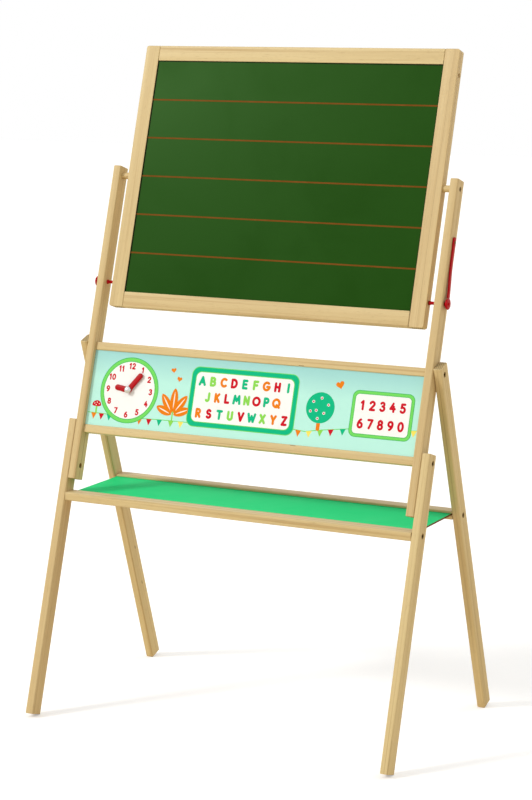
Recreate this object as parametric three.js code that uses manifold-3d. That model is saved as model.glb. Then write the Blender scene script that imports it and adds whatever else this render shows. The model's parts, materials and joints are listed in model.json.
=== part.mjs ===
// Children's standing easel: a wooden stand with a print panel and a shelf, and a
// double-sided board that turns on two dowels between the uprights.
// Millimetres, +Z up, +X to the right and -Y towards the child. The origin is on the
// floor, in the middle of the footprint.
import * as THREE from 'three';
import { mergeVertices, toCreasedNormals } from 'three/addons/utils/BufferGeometryUtils.js';
import Module from 'manifold-3d';

const wasm = await Module();
wasm.setup();

// ---------------------------------------------------------------- driving dimensions
// Every clearance between two pieces that touch.
const FIT = 0.3;

// Timber of the stand: thickness across the easel, depth front to back, edge rounding.
const STOCK_T = 15;
const STOCK_D = 28;
const STOCK_EDGE = 2.2;

// Board that turns between the uprights.
const BOARD_W = 620;
const BOARD_H = 486;
const BOARD_T = 18;
const BOARD_MEMBER = 28;
const BOARD_EDGE = 2.2;
const BOARD_CORNER = 6;
const SHEET_T = 3;
const SHEET_RECESS = 2.5;
const SHEET_GROOVE = 8;

// Stand, measured along the sloping front legs from their feet.
const SIDE_GAP = 15;
const FRONT_LEAN = THREE.MathUtils.degToRad(17.5);
const REAR_LEAN = THREE.MathUtils.degToRad(19);
const FRONT_LEG_L = 535;
const UPRIGHT_L = 578;
const LEG_OVERLAP = 108;
const PIVOT_BELOW_TOP = 16;
const BOLT_FROM_END = 15;
const OVERLAP_SCREW_FROM_END = 25;
const REAR_HOLE_AHEAD = 2;

// Print panel and its two rails.
const PANEL_RAIL_SPACING = 151.5;
const PANEL_SETBACK = 6;
const PANEL_LIP = 2.2;
const PANEL_T = 3;
const PANEL_GROOVE = 6;

// Shelf.
const SHELF_HEIGHT = 383;
const SHELF_BELOW_RAIL_TOP = 4;
const SHELF_T = 3;
const SHELF_GROOVE = 8;
const SHELF_END_SHY = 2;

// Rail bolts with their barrel nuts.
const BOLT_R = 3;
const BOLT_HEAD_R = 4.7;
const BOLT_HEAD_T = 4;
const BOLT_SUNK = 0.6;
const BOLT_IN_RAIL = 34;
const HEX_R = 2.4;
const HEX_DEPTH = 2.4;
const NUT_R = 5;
const NUT_L = 9;
const NUT_IN_RAIL = 24;
const NUT_WALL = 0.7;

// Wood screws: shank and head of the overlap, pivot and strap screws.
const OVERLAP_SCREW = { shank: 2.2, head: 4.4, headT: 3.4, sunk: 1, length: 22 };
const PIVOT_SCREW = { shank: 2, head: 4, headT: 2.8, sunk: 0.4, length: 24 };
const STRAP_SCREW = { shank: 1.4, head: 2.6, headT: 1.6, length: 12 };

// Wooden dowels.
const PIVOT_DOWEL_R = 6;
const PIVOT_IN_BOARD = 14;
const PIVOT_IN_UPRIGHT = 7;
const CORNER_DOWEL_R = 3;
const CORNER_DOWEL_L = 30;

// Lock pins, stored drawn back by PIN_TRAVEL so that the board is free to turn.
const PIN_R = 2.8;
const PIN_TIP_R = 3.8;
const PIN_TIP_L = 4;
const PIN_HEAD_R = 9.5;
const PIN_HEAD_T = 3.5;
const PIN_NUB_R = 2.6;
const PIN_NUB_T = 1.6;
const PIN_TRAVEL = 3;
const PIN_SHOULDER_AT = 12;
const PIN_HOLE_EXTRA = 2;
const PIN_FROM_BOARD_END = 45;

// Straps that keep the pins on the stand.
const STRAP_REACH = 106;
const STRAP_T = 2.4;
const STRAP_W = 5;
const EYELET_W = 8;
const EYELET_L = 17;

// Teaching clock on the print panel.
const CLOCK_X = -243.5;
const AXLE_R = 2.5;
const DOME_R = 6.4;
const DOME_H = 4.6;
const HAND_T = 2.4;
const HAND_W = 10.5;
const HOUR_HAND_L = 30;
const MINUTE_HAND_L = 39;
const HOUR_HAND_AT = THREE.MathUtils.degToRad(278.6);
const MINUTE_HAND_AT = THREE.MathUtils.degToRad(37.5);
const RETAINER_R = 6.5;
const RETAINER_T = 2.2;

// Staples: crown length, wire size and leg length, and where each one lies.
const STAPLE_CROWN = 13;
const STAPLE_WIRE = 1.3;
const STAPLE_LEG = 8;
const STAPLE_INSET = 1.7;
const TOP_STAPLE_X = 92;
const BOTTOM_STAPLE_X = 97;
const SHELF_STAPLE_X = 139;

// Sides of bores and hidden bars, and of the turned pieces that show.
const ROUND = 16;
const ROUND_FINE = 24;
const CUT = 1;

// ---------------------------------------------------------------- derived positions
const uprightIn = BOARD_W / 2 + SIDE_GAP;
const uprightOut = uprightIn + STOCK_T;
const legIn = uprightOut + FIT;
const legOut = legIn + STOCK_T;
const uprightX = (uprightIn + uprightOut) / 2;
const legX = (legIn + legOut) / 2;

const uprightBottom = FRONT_LEG_L - LEG_OVERLAP;
const uprightTop = uprightBottom + UPRIGHT_L;
const pivotZ = uprightTop - PIVOT_BELOW_TOP;
const overlapScrewZ = uprightBottom + OVERLAP_SCREW_FROM_END;
const pinZ = pivotZ - BOARD_H / 2 + PIN_FROM_BOARD_END;

const panelRailD = STOCK_D - PANEL_SETBACK;
const panelRailY = PANEL_SETBACK / 2;
const panelRailFront = panelRailY - panelRailD / 2;
const bottomRailZ = FRONT_LEG_L - BOLT_FROM_END;
const topRailZ = bottomRailZ + PANEL_RAIL_SPACING;
const panelZ = (bottomRailZ + topRailZ) / 2;
const panelFrontY = panelRailFront + PANEL_LIP + FIT;
// The bolts of the panel rails run just far enough behind the groove for their barrel nuts.
const panelBoltY = panelFrontY + PANEL_T + FIT + NUT_WALL + NUT_L / 2;
const railEnd = uprightIn - FIT;

// World position of the front frame's origin, the middle of the front feet's ends.
const footLift = (STOCK_D / 2) * Math.sin(FRONT_LEAN);
const rearLift = (STOCK_D / 2) * Math.sin(REAR_LEAN);

// The rear legs cross the uprights at the panel's top rail bolt.
const crossY = topRailZ * Math.sin(FRONT_LEAN) + panelBoltY * Math.cos(FRONT_LEAN);
const crossZ = footLift + topRailZ * Math.cos(FRONT_LEAN) - panelBoltY * Math.sin(FRONT_LEAN);
const rearBelow = (crossZ + REAR_HOLE_AHEAD * Math.sin(REAR_LEAN) - rearLift) / Math.cos(REAR_LEAN);
const rearLegL = rearBelow + BOLT_FROM_END;

// Depth of the footprint, which sets the origin.
const rearFootY = crossY + REAR_HOLE_AHEAD * Math.cos(REAR_LEAN) + rearBelow * Math.sin(REAR_LEAN);
const rearEdgeY = rearFootY + (STOCK_D / 2) * Math.cos(REAR_LEAN);
const frontEdgeY = -(STOCK_D / 2) * Math.cos(FRONT_LEAN);
const originY = (frontEdgeY + rearEdgeY) / 2;

// Shelf rails lie on the centrelines of the front and rear legs.
const shelfFrontY = (SHELF_HEIGHT - footLift) * Math.tan(FRONT_LEAN);
const shelfRearY = rearFootY - (SHELF_HEIGHT - rearLift) * Math.tan(REAR_LEAN);
const shelfRailEnd = legIn - FIT;

// How far the shelf's bolts lie from those centrelines, towards the panel, to clear its groove.
const shelfBoltIn = STOCK_D / 2 - SHELF_GROOVE - NUT_WALL - FIT - NUT_R;
const shelfTopZ = STOCK_T / 2 - SHELF_BELOW_RAIL_TOP;

// ---------------------------------------------------------------- materials
const wood = new THREE.MeshStandardMaterial({ color: 0xdcc48e, roughness: 0.55 });
const dowelWood = new THREE.MeshStandardMaterial({ color: 0xe2cc9a, roughness: 0.6 });
const chalkGreen = new THREE.MeshStandardMaterial({ color: 0x2f6a22, roughness: 0.8 });
const whiteEnamel = new THREE.MeshStandardMaterial({ color: 0xf4f5f3, roughness: 0.2 });
const printed = new THREE.MeshStandardMaterial({ color: 0xb9f0e4, roughness: 0.35 });
const shelfGreen = new THREE.MeshStandardMaterial({ color: 0x1fd678, roughness: 0.4 });
const redPlastic = new THREE.MeshStandardMaterial({ color: 0xb4050f, roughness: 0.35 });
const zinc = new THREE.MeshStandardMaterial({ color: 0xb9b7a8, roughness: 0.35, metalness: 1 });
const darkSteel = new THREE.MeshStandardMaterial({ color: 0x4a4438, roughness: 0.5, metalness: 1 });

// ---------------------------------------------------------------- solids
function solid(geometry) {
  const bare = geometry.clone();
  bare.deleteAttribute('normal');
  bare.deleteAttribute('uv');
  const merged = mergeVertices(bare);
  const vertProperties = new Float32Array(merged.attributes.position.array);
  const triVerts = new Uint32Array(merged.index.array);
  return new wasm.Manifold(new wasm.Mesh({ numProp: 3, vertProperties, triVerts }));
}

function surface(body) {
  const mesh = body.getMesh();
  const geometry = new THREE.BufferGeometry();
  geometry.setAttribute('position', new THREE.BufferAttribute(mesh.vertProperties, 3));
  geometry.setIndex(new THREE.BufferAttribute(mesh.triVerts, 1));
  return toCreasedNormals(geometry, 0.6);
}

function roundedRect(width, depth, radius) {
  const x = width / 2 - radius;
  const y = depth / 2 - radius;
  const shape = new THREE.Shape();
  shape.absarc(x, y, radius, 0, Math.PI / 2);
  shape.absarc(-x, y, radius, Math.PI / 2, Math.PI);
  shape.absarc(-x, -y, radius, Math.PI, 1.5 * Math.PI);
  shape.absarc(x, -y, radius, 1.5 * Math.PI, 2 * Math.PI);
  return shape;
}

// Timber along Z or along X, centred on (x, y, z), with rounded long edges.
function timberZ(width, depth, length, edge, x, y, z) {
  const extrusion = { depth: length, bevelEnabled: false, curveSegments: 2 };
  const geometry = new THREE.ExtrudeGeometry(roundedRect(width, depth, edge), extrusion);
  return solid(geometry.translate(x, y, z - length / 2));
}

function timberX(height, depth, length, edge, x, y, z) {
  const extrusion = { depth: length, bevelEnabled: false, curveSegments: 2 };
  const geometry = new THREE.ExtrudeGeometry(roundedRect(height, depth, edge), extrusion);
  return solid(geometry.rotateY(Math.PI / 2).translate(x - length / 2, y, z));
}

function block(x0, x1, y0, y1, z0, z1) {
  const geometry = new THREE.BoxGeometry(Math.abs(x1 - x0), y1 - y0, z1 - z0);
  return solid(geometry.translate((x0 + x1) / 2, (y0 + y1) / 2, (z0 + z1) / 2));
}

// Round bars between two coordinates along one axis, and the bores that take them.
function rodX(radius, x0, x1, y, z) {
  const geometry = new THREE.CylinderGeometry(radius, radius, Math.abs(x1 - x0), ROUND);
  return solid(geometry.rotateZ(Math.PI / 2).translate((x0 + x1) / 2, y, z));
}

function rodY(radius, y0, y1, x, z) {
  const geometry = new THREE.CylinderGeometry(radius, radius, y1 - y0, ROUND);
  return solid(geometry.translate(x, (y0 + y1) / 2, z));
}

function rodZ(radius, z0, z1, x, y) {
  const geometry = new THREE.CylinderGeometry(radius, radius, z1 - z0, ROUND);
  return solid(geometry.rotateX(Math.PI / 2).translate(x, y, (z0 + z1) / 2));
}

// A turned piece along X. Each profile point is [radius, distance outwards from x0].
function turnedX(profile, side, x0, y, z) {
  const points = profile.map(([radius, along]) => new THREE.Vector2(radius, along));
  const geometry = new THREE.LatheGeometry(points, ROUND_FINE);
  geometry.rotateZ(-side * Math.PI / 2);
  return solid(geometry.translate(x0, y, z));
}

function subtractAll(body, tools) {
  return tools.reduce((rest, tool) => rest.subtract(tool), body);
}

function addAll(parent, pieces) {
  for (const [name, body, material] of pieces) {
    const mesh = new THREE.Mesh(surface(body), material);
    mesh.name = name;
    parent.add(mesh);
  }
}

const SIDES = [['left', -1], ['right', 1]];

// ---------------------------------------------------------------- fasteners
// Socket-head bolt along X: its head is sunk in the face at faceX and its tip points inwards.
function railBolt(side, faceX, tipX, y, z) {
  const headOut = faceX - BOLT_SUNK;
  const headIn = headOut - BOLT_HEAD_T;
  const head = rodX(BOLT_HEAD_R, side * headIn, side * headOut, y, z);
  const shank = rodX(BOLT_R, side * tipX, side * (headIn + CUT), y, z);
  const hex = new THREE.CylinderGeometry(HEX_R, HEX_R, HEX_DEPTH + CUT, 6);
  hex.rotateZ(Math.PI / 2).translate(side * (headOut - HEX_DEPTH / 2 + CUT / 2), y, z);
  return head.add(shank).subtract(solid(hex));
}

// Clearance hole for a rail bolt, and the counterbore for its head.
function boltHole(side, x0, x1, y, z) {
  return rodX(BOLT_R + FIT, side * x0, side * x1, y, z);
}

function boltCounterbore(side, faceX, y, z) {
  const floorX = faceX - BOLT_SUNK - BOLT_HEAD_T - FIT;
  return rodX(BOLT_HEAD_R + FIT, side * floorX, side * (faceX + CUT), y, z);
}

// Barrel nut lying along Y or Z with its cross hole on the bolt's axis.
function barrelNut(along, x, y, z) {
  const half = NUT_L / 2;
  const lying = along === 'y';
  const barrel = lying ? rodY(NUT_R, y - half, y + half, x, z) : rodZ(NUT_R, z - half, z + half, x, y);
  return barrel.subtract(rodX(BOLT_R + FIT, x - NUT_R - CUT, x + NUT_R + CUT, y, z));
}

// Wood screw along X with its head at headX, pointing towards tipX; the slot is a cross.
function woodScrew(screw, headX, direction, y, z) {
  const neck = headX + direction * screw.headT;
  const tip = headX + direction * screw.length;
  const head = rodX(screw.head, headX, neck, y, z);
  const shank = rodX(screw.shank, neck - direction * CUT / 2, tip, y, z);
  const deep = headX + direction * screw.headT * 0.45;
  const arm = screw.head * 0.62;
  const thin = screw.head * 0.16;
  const start = headX - direction * CUT;
  const slots = [
    block(start, deep, y - arm, y + arm, z - thin, z + thin),
    block(start, deep, y - thin, y + thin, z - arm, z + arm),
  ];
  return subtractAll(head.add(shank), slots);
}

function staple(x, y, z) {
  const half = STAPLE_CROWN / 2;
  const wire = STAPLE_WIRE / 2;
  const crown = block(x - half, x + half, y, y + STAPLE_WIRE, z - wire, z + wire);
  const legs = [-1, 1].map((end) => {
    const legX0 = x + end * (half - wire);
    return block(legX0 - wire, legX0 + wire, y + wire, y + STAPLE_LEG, z - wire, z + wire);
  });
  return crown.add(legs[0]).add(legs[1]);
}

// The recess that a staple leaves in whatever it is driven into.
function stapleHoles(x, y, z) {
  const half = STAPLE_CROWN / 2;
  const wire = STAPLE_WIRE / 2 + FIT;
  const crown = block(x - half - FIT, x + half + FIT, y - CUT, y + STAPLE_WIRE + FIT, z - wire, z + wire);
  const legs = [-1, 1].map((end) => {
    const legX0 = x + end * (half - STAPLE_WIRE / 2);
    return block(legX0 - wire, legX0 + wire, y, y + STAPLE_LEG + FIT, z - wire, z + wire);
  });
  return [crown, ...legs];
}

// ---------------------------------------------------------------- stand, front frame
function upright(side) {
  const middle = uprightBottom + UPRIGHT_L / 2;
  const body = timberZ(STOCK_T, STOCK_D, UPRIGHT_L, STOCK_EDGE, side * uprightX, 0, middle);
  const through = [side * (uprightIn - CUT), side * (uprightOut + CUT)];
  const overlapHeadFloor = uprightIn + OVERLAP_SCREW.sunk + OVERLAP_SCREW.headT + FIT;
  const pivotFloor = uprightIn + PIVOT_IN_UPRIGHT + FIT;
  const pivotHeadFloor = uprightOut - PIVOT_SCREW.sunk - PIVOT_SCREW.headT - FIT;
  const strapTip = uprightOut + FIT + STRAP_T + FIT + STRAP_SCREW.headT - STRAP_SCREW.length - FIT;
  return subtractAll(body, [
    rodX(BOLT_R + FIT, ...through, panelBoltY, topRailZ),
    rodX(BOLT_R + FIT, ...through, panelBoltY, bottomRailZ),
    rodX(PIN_TIP_R + FIT, ...through, 0, pinZ),
    rodX(OVERLAP_SCREW.shank + FIT, ...through, 0, overlapScrewZ),
    rodX(OVERLAP_SCREW.head + FIT, side * (uprightIn - CUT), side * overlapHeadFloor, 0, overlapScrewZ),
    rodX(PIVOT_DOWEL_R + FIT, side * (uprightIn - CUT), side * pivotFloor, 0, pivotZ),
    rodX(PIVOT_SCREW.shank + FIT, ...through, 0, pivotZ),
    rodX(PIVOT_SCREW.head + FIT, side * pivotHeadFloor, side * (uprightOut + CUT), 0, pivotZ),
    rodX(STRAP_SCREW.shank + FIT, side * strapTip, side * (uprightOut + CUT), 0, pinZ + STRAP_REACH),
  ]);
}

function frontLeg(side) {
  const body = timberZ(STOCK_T, STOCK_D, FRONT_LEG_L, STOCK_EDGE, side * legX, 0, FRONT_LEG_L / 2);
  const screwTip = uprightIn + OVERLAP_SCREW.sunk + OVERLAP_SCREW.length + FIT;
  const shelfY = shelfBoltIn * Math.cos(FRONT_LEAN);
  const shelfZ = (SHELF_HEIGHT - footLift) / Math.cos(FRONT_LEAN) + shelfBoltIn * Math.sin(FRONT_LEAN);
  return subtractAll(body, [
    boltHole(side, legIn - CUT, legOut, panelBoltY, bottomRailZ),
    boltCounterbore(side, legOut, panelBoltY, bottomRailZ),
    boltHole(side, legIn - CUT, legOut, shelfY, shelfZ),
    boltCounterbore(side, legOut, shelfY, shelfZ),
    rodX(OVERLAP_SCREW.shank + FIT, side * (legIn - CUT), side * screwTip, 0, overlapScrewZ),
  ]);
}

// Rails that hold the print panel. The groove is on the edge that faces the panel.
function panelRail(z, towardsPanel, stapleX) {
  const body = timberX(STOCK_T, panelRailD, 2 * railEnd, STOCK_EDGE, 0, panelRailY, z);
  const edgeZ = z + towardsPanel * STOCK_T / 2;
  const grooveZ = [edgeZ - towardsPanel * PANEL_GROOVE, edgeZ + towardsPanel * CUT].sort((a, b) => a - b);
  const grooveY = [panelFrontY - FIT, panelFrontY + PANEL_T + FIT];
  const groove = block(-railEnd - CUT, railEnd + CUT, ...grooveY, ...grooveZ);
  const nutX = railEnd - NUT_IN_RAIL;
  const boltTip = railEnd - BOLT_IN_RAIL - FIT;
  const nutFloor = panelBoltY - NUT_L / 2 - FIT;
  const nutMouth = panelRailY + panelRailD / 2 + CUT;
  const bores = SIDES.flatMap(([, side]) => [
    boltHole(side, boltTip, railEnd + CUT, panelBoltY, z),
    rodY(NUT_R + FIT, nutFloor, nutMouth, side * nutX, z),
  ]);
  const stapleZ = edgeZ - towardsPanel * STAPLE_INSET;
  return subtractAll(body, [groove, ...bores, ...stapleHoles(stapleX, panelRailFront, stapleZ)]);
}

function printPanel() {
  const height = PANEL_RAIL_SPACING - STOCK_T + 2 * (PANEL_GROOVE - FIT);
  const back = panelFrontY + PANEL_T;
  const sheet = block(-railEnd, railEnd, panelFrontY, back, panelZ - height / 2, panelZ + height / 2);
  const axleHole = rodY(AXLE_R + FIT, panelFrontY - CUT, back + CUT, CLOCK_X, panelZ);
  const topStaple = topRailZ - STOCK_T / 2 + STAPLE_INSET;
  const bottomStaple = bottomRailZ + STOCK_T / 2 - STAPLE_INSET;
  return subtractAll(sheet, [
    axleHole,
    ...stapleHoles(TOP_STAPLE_X, panelRailFront, topStaple),
    ...stapleHoles(BOTTOM_STAPLE_X, panelRailFront, bottomStaple),
  ]);
}

// Straps: an eyelet plate screwed to the upright, and an arm that runs down to the pin's head.
function strap(side) {
  const screwZ = pinZ + STRAP_REACH;
  const faceX = uprightOut + FIT;
  const headX = faceX + PIN_TRAVEL;
  const top = screwZ - EYELET_L / 2 + CUT;
  const bend = top - (STRAP_REACH - PIN_HEAD_R) * 0.35;
  const foot = pinZ + PIN_HEAD_R + FIT;
  const outline = new THREE.Shape();
  outline.moveTo(faceX, top);
  outline.lineTo(faceX, bend);
  outline.quadraticCurveTo(faceX, (bend + foot) / 2, headX, foot);
  outline.lineTo(headX + STRAP_T, foot);
  outline.quadraticCurveTo(faceX + STRAP_T, (bend + foot) / 2, faceX + STRAP_T, bend);
  outline.lineTo(faceX + STRAP_T, top);
  outline.closePath();
  const arm = new THREE.ExtrudeGeometry(outline, { depth: STRAP_W, bevelEnabled: false, curveSegments: 5 });
  arm.rotateX(Math.PI / 2).translate(0, STRAP_W / 2, 0);
  if (side < 0) arm.rotateZ(Math.PI);
  const plate = new THREE.ExtrudeGeometry(roundedRect(EYELET_W, EYELET_L, 3),
    { depth: STRAP_T, bevelEnabled: false, curveSegments: 2 });
  plate.rotateX(Math.PI / 2).rotateZ(Math.PI / 2);
  plate.translate(side * faceX + (side < 0 ? -STRAP_T : 0), 0, screwZ);
  const through = [side * (faceX - CUT), side * (faceX + STRAP_T + CUT)];
  const hole = rodX(STRAP_SCREW.shank + FIT, ...through, 0, screwZ);
  return solid(plate).add(solid(arm)).subtract(hole);
}

// Lock pin, turned about X: snap tip, neck, shoulder that fills the upright's hole, head and nub.
function lockPin(side) {
  const tipX = BOARD_W / 2 + FIT;
  const headX = uprightOut + FIT + PIN_TRAVEL;
  const shaftL = headX - tipX;
  const soft = 0.9;
  const profile = [
    [0, 0], [PIN_TIP_R - 1.2, 0], [PIN_TIP_R, 1.2], [PIN_TIP_R, PIN_TIP_L - 1.2], [PIN_R, PIN_TIP_L],
    [PIN_R, PIN_SHOULDER_AT], [PIN_TIP_R, PIN_SHOULDER_AT + soft], [PIN_TIP_R, shaftL],
    [PIN_HEAD_R - soft, shaftL], [PIN_HEAD_R, shaftL + soft],
    [PIN_HEAD_R, shaftL + PIN_HEAD_T - soft], [PIN_HEAD_R - soft, shaftL + PIN_HEAD_T],
    [PIN_NUB_R, shaftL + PIN_HEAD_T], [PIN_NUB_R - 0.6, shaftL + PIN_HEAD_T + PIN_NUB_T],
    [0, shaftL + PIN_HEAD_T + PIN_NUB_T],
  ];
  return turnedX(profile, side, side * tipX, 0, pinZ);
}

// Clock hands lie in front of the panel, one above the other, and turn on the axle.
function clockHand(length, angle, backY) {
  const half = HAND_W / 2;
  const bevel = 0.9;
  const outline = new THREE.Shape();
  outline.absarc(0, 0, half - bevel, Math.PI, 2 * Math.PI);
  outline.absarc(0, length - half, half - bevel, 0, Math.PI);
  const geometry = new THREE.ExtrudeGeometry(outline, {
    depth: HAND_T - bevel, bevelThickness: bevel, bevelSize: bevel, bevelSegments: 2, curveSegments: 5,
  });
  geometry.rotateX(Math.PI / 2).rotateY(angle);
  const plate = solid(geometry.translate(CLOCK_X, backY, panelZ));
  const reach = 3 * length;
  const keepX = [CLOCK_X - reach, CLOCK_X + reach];
  const keep = block(...keepX, backY - HAND_T, backY, panelZ - reach, panelZ + reach);
  const hole = rodY(AXLE_R + FIT, backY - HAND_T - CUT, backY + CUT, CLOCK_X, panelZ);
  return plate.intersect(keep).subtract(hole);
}

const hourBack = panelFrontY - FIT;
const minuteBack = hourBack - HAND_T - FIT;
const domeBack = minuteBack - HAND_T - FIT;

function clockAxle() {
  const shaftEnd = panelFrontY + PANEL_T + FIT + RETAINER_T + 1 - domeBack;
  const points = [[0, -shaftEnd], [AXLE_R, -shaftEnd], [AXLE_R, 0], [DOME_R, 0], [DOME_R, 0.8]];
  for (let step = 1; step <= 5; step += 1) {
    const turn = (step / 5) * (Math.PI / 2);
    points.push([DOME_R * Math.cos(turn), 0.8 + (DOME_H - 0.8) * Math.sin(turn)]);
  }
  points[points.length - 1][0] = 0;
  const profile = points.map(([radius, along]) => new THREE.Vector2(radius, along));
  const geometry = new THREE.LatheGeometry(profile, ROUND_FINE).rotateX(Math.PI);
  return solid(geometry.translate(CLOCK_X, domeBack, panelZ));
}

function clockRetainer() {
  const front = panelFrontY + PANEL_T + FIT;
  const ring = rodY(RETAINER_R, front, front + RETAINER_T, CLOCK_X, panelZ);
  return ring.subtract(rodY(AXLE_R + FIT, front - CUT, front + RETAINER_T + CUT, CLOCK_X, panelZ));
}

function buildFront(frame) {
  for (const [word, side] of SIDES) {
    const strapFace = uprightOut + FIT + STRAP_T + FIT + STRAP_SCREW.headT;
    const boltTip = railEnd - BOLT_IN_RAIL;
    const nutX = side * (railEnd - NUT_IN_RAIL);
    addAll(frame, [
      [`${word}_upright`, upright(side), wood],
      [`${word}_front_leg`, frontLeg(side), wood],
      [`${word}_front_leg_bolt`, railBolt(side, legOut, boltTip, panelBoltY, bottomRailZ), zinc],
      [`${word}_bottom_rail_nut`, barrelNut('y', nutX, panelBoltY, bottomRailZ), zinc],
      [`${word}_top_rail_nut`, barrelNut('y', nutX, panelBoltY, topRailZ), zinc],
      [`${word}_rear_leg_bolt`, railBolt(side, legOut, boltTip, panelBoltY, topRailZ), zinc],
      [`${word}_overlap_screw`,
        woodScrew(OVERLAP_SCREW, side * (uprightIn + OVERLAP_SCREW.sunk), side, 0, overlapScrewZ), zinc],
      [`${word}_lock_pin`, lockPin(side), redPlastic],
      [`${word}_pin_strap`, strap(side), redPlastic],
      [`${word}_strap_screw`, woodScrew(STRAP_SCREW, side * strapFace, -side, 0, pinZ + STRAP_REACH), zinc],
    ]);
  }
  const topStaple = topRailZ - STOCK_T / 2 + STAPLE_INSET;
  const bottomStaple = bottomRailZ + STOCK_T / 2 - STAPLE_INSET;
  addAll(frame, [
    ['panel_top_rail', panelRail(topRailZ, -1, TOP_STAPLE_X), wood],
    ['panel_bottom_rail', panelRail(bottomRailZ, 1, BOTTOM_STAPLE_X), wood],
    ['print_panel', printPanel(), printed],
    ['top_rail_staple', staple(TOP_STAPLE_X, panelRailFront, topStaple), darkSteel],
    ['bottom_rail_staple', staple(BOTTOM_STAPLE_X, panelRailFront, bottomStaple), darkSteel],
    ['hour_hand', clockHand(HOUR_HAND_L, HOUR_HAND_AT, hourBack), redPlastic],
    ['minute_hand', clockHand(MINUTE_HAND_L, MINUTE_HAND_AT, minuteBack), redPlastic],
    ['clock_axle', clockAxle(), zinc],
    ['clock_retainer', clockRetainer(), zinc],
  ]);
}

// ---------------------------------------------------------------- board, about its pivot
const sheetFront = -BOARD_T / 2 + SHEET_RECESS;
const openingW = BOARD_W - 2 * BOARD_MEMBER;
const openingH = BOARD_H - 2 * BOARD_MEMBER;

function boardOutline() {
  const shape = roundedRect(BOARD_W, BOARD_H, BOARD_CORNER);
  const extrusion = { depth: 2 * BOARD_T, bevelEnabled: false, curveSegments: 3 };
  const geometry = new THREE.ExtrudeGeometry(shape, extrusion);
  return solid(geometry.rotateX(Math.PI / 2).translate(0, BOARD_T, 0));
}

// Two grooves, one for each sheet, as a pair of boxes around the opening.
function sheetGrooves(halfW, halfH) {
  return [1, -1].map((face) => {
    const y = [face * sheetFront, face * (sheetFront + SHEET_T)].sort((a, b) => a - b);
    return block(-halfW, halfW, y[0] - FIT, y[1] + FIT, -halfH, halfH);
  });
}

const cornerZ = BOARD_H / 2 - BOARD_MEMBER / 2;
const cornerJoint = openingW / 2;
const cornerHalf = CORNER_DOWEL_L / 2;

function boardStile(side) {
  const x = side * (BOARD_W - BOARD_MEMBER) / 2;
  const body = timberZ(BOARD_MEMBER, BOARD_T, BOARD_H, BOARD_EDGE, x, 0, 0).intersect(boardOutline());
  const edge = side * (BOARD_W / 2 + CUT);
  const pinFloor = side * (BOARD_W / 2 - PIN_TRAVEL - PIN_HOLE_EXTRA);
  const pivotFloor = side * (BOARD_W / 2 - PIVOT_IN_BOARD - FIT);
  const reachW = openingW / 2 + SHEET_GROOVE;
  const reachH = openingH / 2 + SHEET_GROOVE;
  const dowelEnd = side * (cornerJoint + cornerHalf + FIT);
  const holes = [-1, 1].flatMap((end) => [
    rodX(PIN_TIP_R + FIT, pinFloor, edge, 0, end * (BOARD_H / 2 - PIN_FROM_BOARD_END)),
    rodX(CORNER_DOWEL_R + FIT, side * (cornerJoint - CUT), dowelEnd, 0, end * cornerZ),
  ]);
  const pivotBore = rodX(PIVOT_DOWEL_R + FIT, pivotFloor, edge, 0, 0);
  return subtractAll(body, [...sheetGrooves(reachW, reachH), ...holes, pivotBore]);
}

function boardRail(end) {
  const length = openingW - 2 * FIT;
  const z = end * (BOARD_H - BOARD_MEMBER) / 2;
  const body = timberX(BOARD_MEMBER, BOARD_T, length, BOARD_EDGE, 0, 0, z);
  const holes = SIDES.map(([, side]) => {
    const inner = side * (cornerJoint - cornerHalf - FIT);
    return rodX(CORNER_DOWEL_R + FIT, inner, side * cornerJoint, 0, end * cornerZ);
  });
  return subtractAll(body, [...sheetGrooves(openingW / 2, openingH / 2 + SHEET_GROOVE), ...holes]);
}

function boardSheet(face) {
  const halfW = openingW / 2 + SHEET_GROOVE - FIT;
  const halfH = openingH / 2 + SHEET_GROOVE - FIT;
  const y = [face * sheetFront, face * (sheetFront + SHEET_T)].sort((a, b) => a - b);
  return block(-halfW, halfW, y[0], y[1], -halfH, halfH);
}

// Dowel glued into the stile, with its outer end turning in the upright's blind bore.
function pivotDowel(side) {
  const inner = BOARD_W / 2 - PIVOT_IN_BOARD;
  const outer = uprightIn + PIVOT_IN_UPRIGHT;
  const screwTip = uprightOut - PIVOT_SCREW.sunk - PIVOT_SCREW.length - FIT;
  const bar = rodX(PIVOT_DOWEL_R, side * inner, side * outer, 0, 0);
  return bar.subtract(rodX(PIVOT_SCREW.shank + FIT, side * screwTip, side * (outer + CUT), 0, 0));
}

function buildBoard(frame) {
  for (const [word, side] of SIDES) {
    const screwHead = side * (uprightOut - PIVOT_SCREW.sunk);
    addAll(frame, [
      [`${word}_board_stile`, boardStile(side), wood],
      [`${word}_pivot_dowel`, pivotDowel(side), dowelWood],
      [`${word}_pivot_screw`, woodScrew(PIVOT_SCREW, screwHead, -side, 0, 0), zinc],
    ]);
    for (const [level, end] of [['top', 1], ['bottom', -1]]) {
      const inner = side * (cornerJoint - cornerHalf);
      const outer = side * (cornerJoint + cornerHalf);
      const dowel = rodX(CORNER_DOWEL_R, inner, outer, 0, end * cornerZ);
      addAll(frame, [[`${word}_${level}_corner_dowel`, dowel, dowelWood]]);
    }
  }
  addAll(frame, [
    ['board_top_rail', boardRail(1), wood],
    ['board_bottom_rail', boardRail(-1), wood],
    ['chalk_sheet', boardSheet(1), chalkGreen],
    ['white_sheet', boardSheet(-1), whiteEnamel],
  ]);
}

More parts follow.
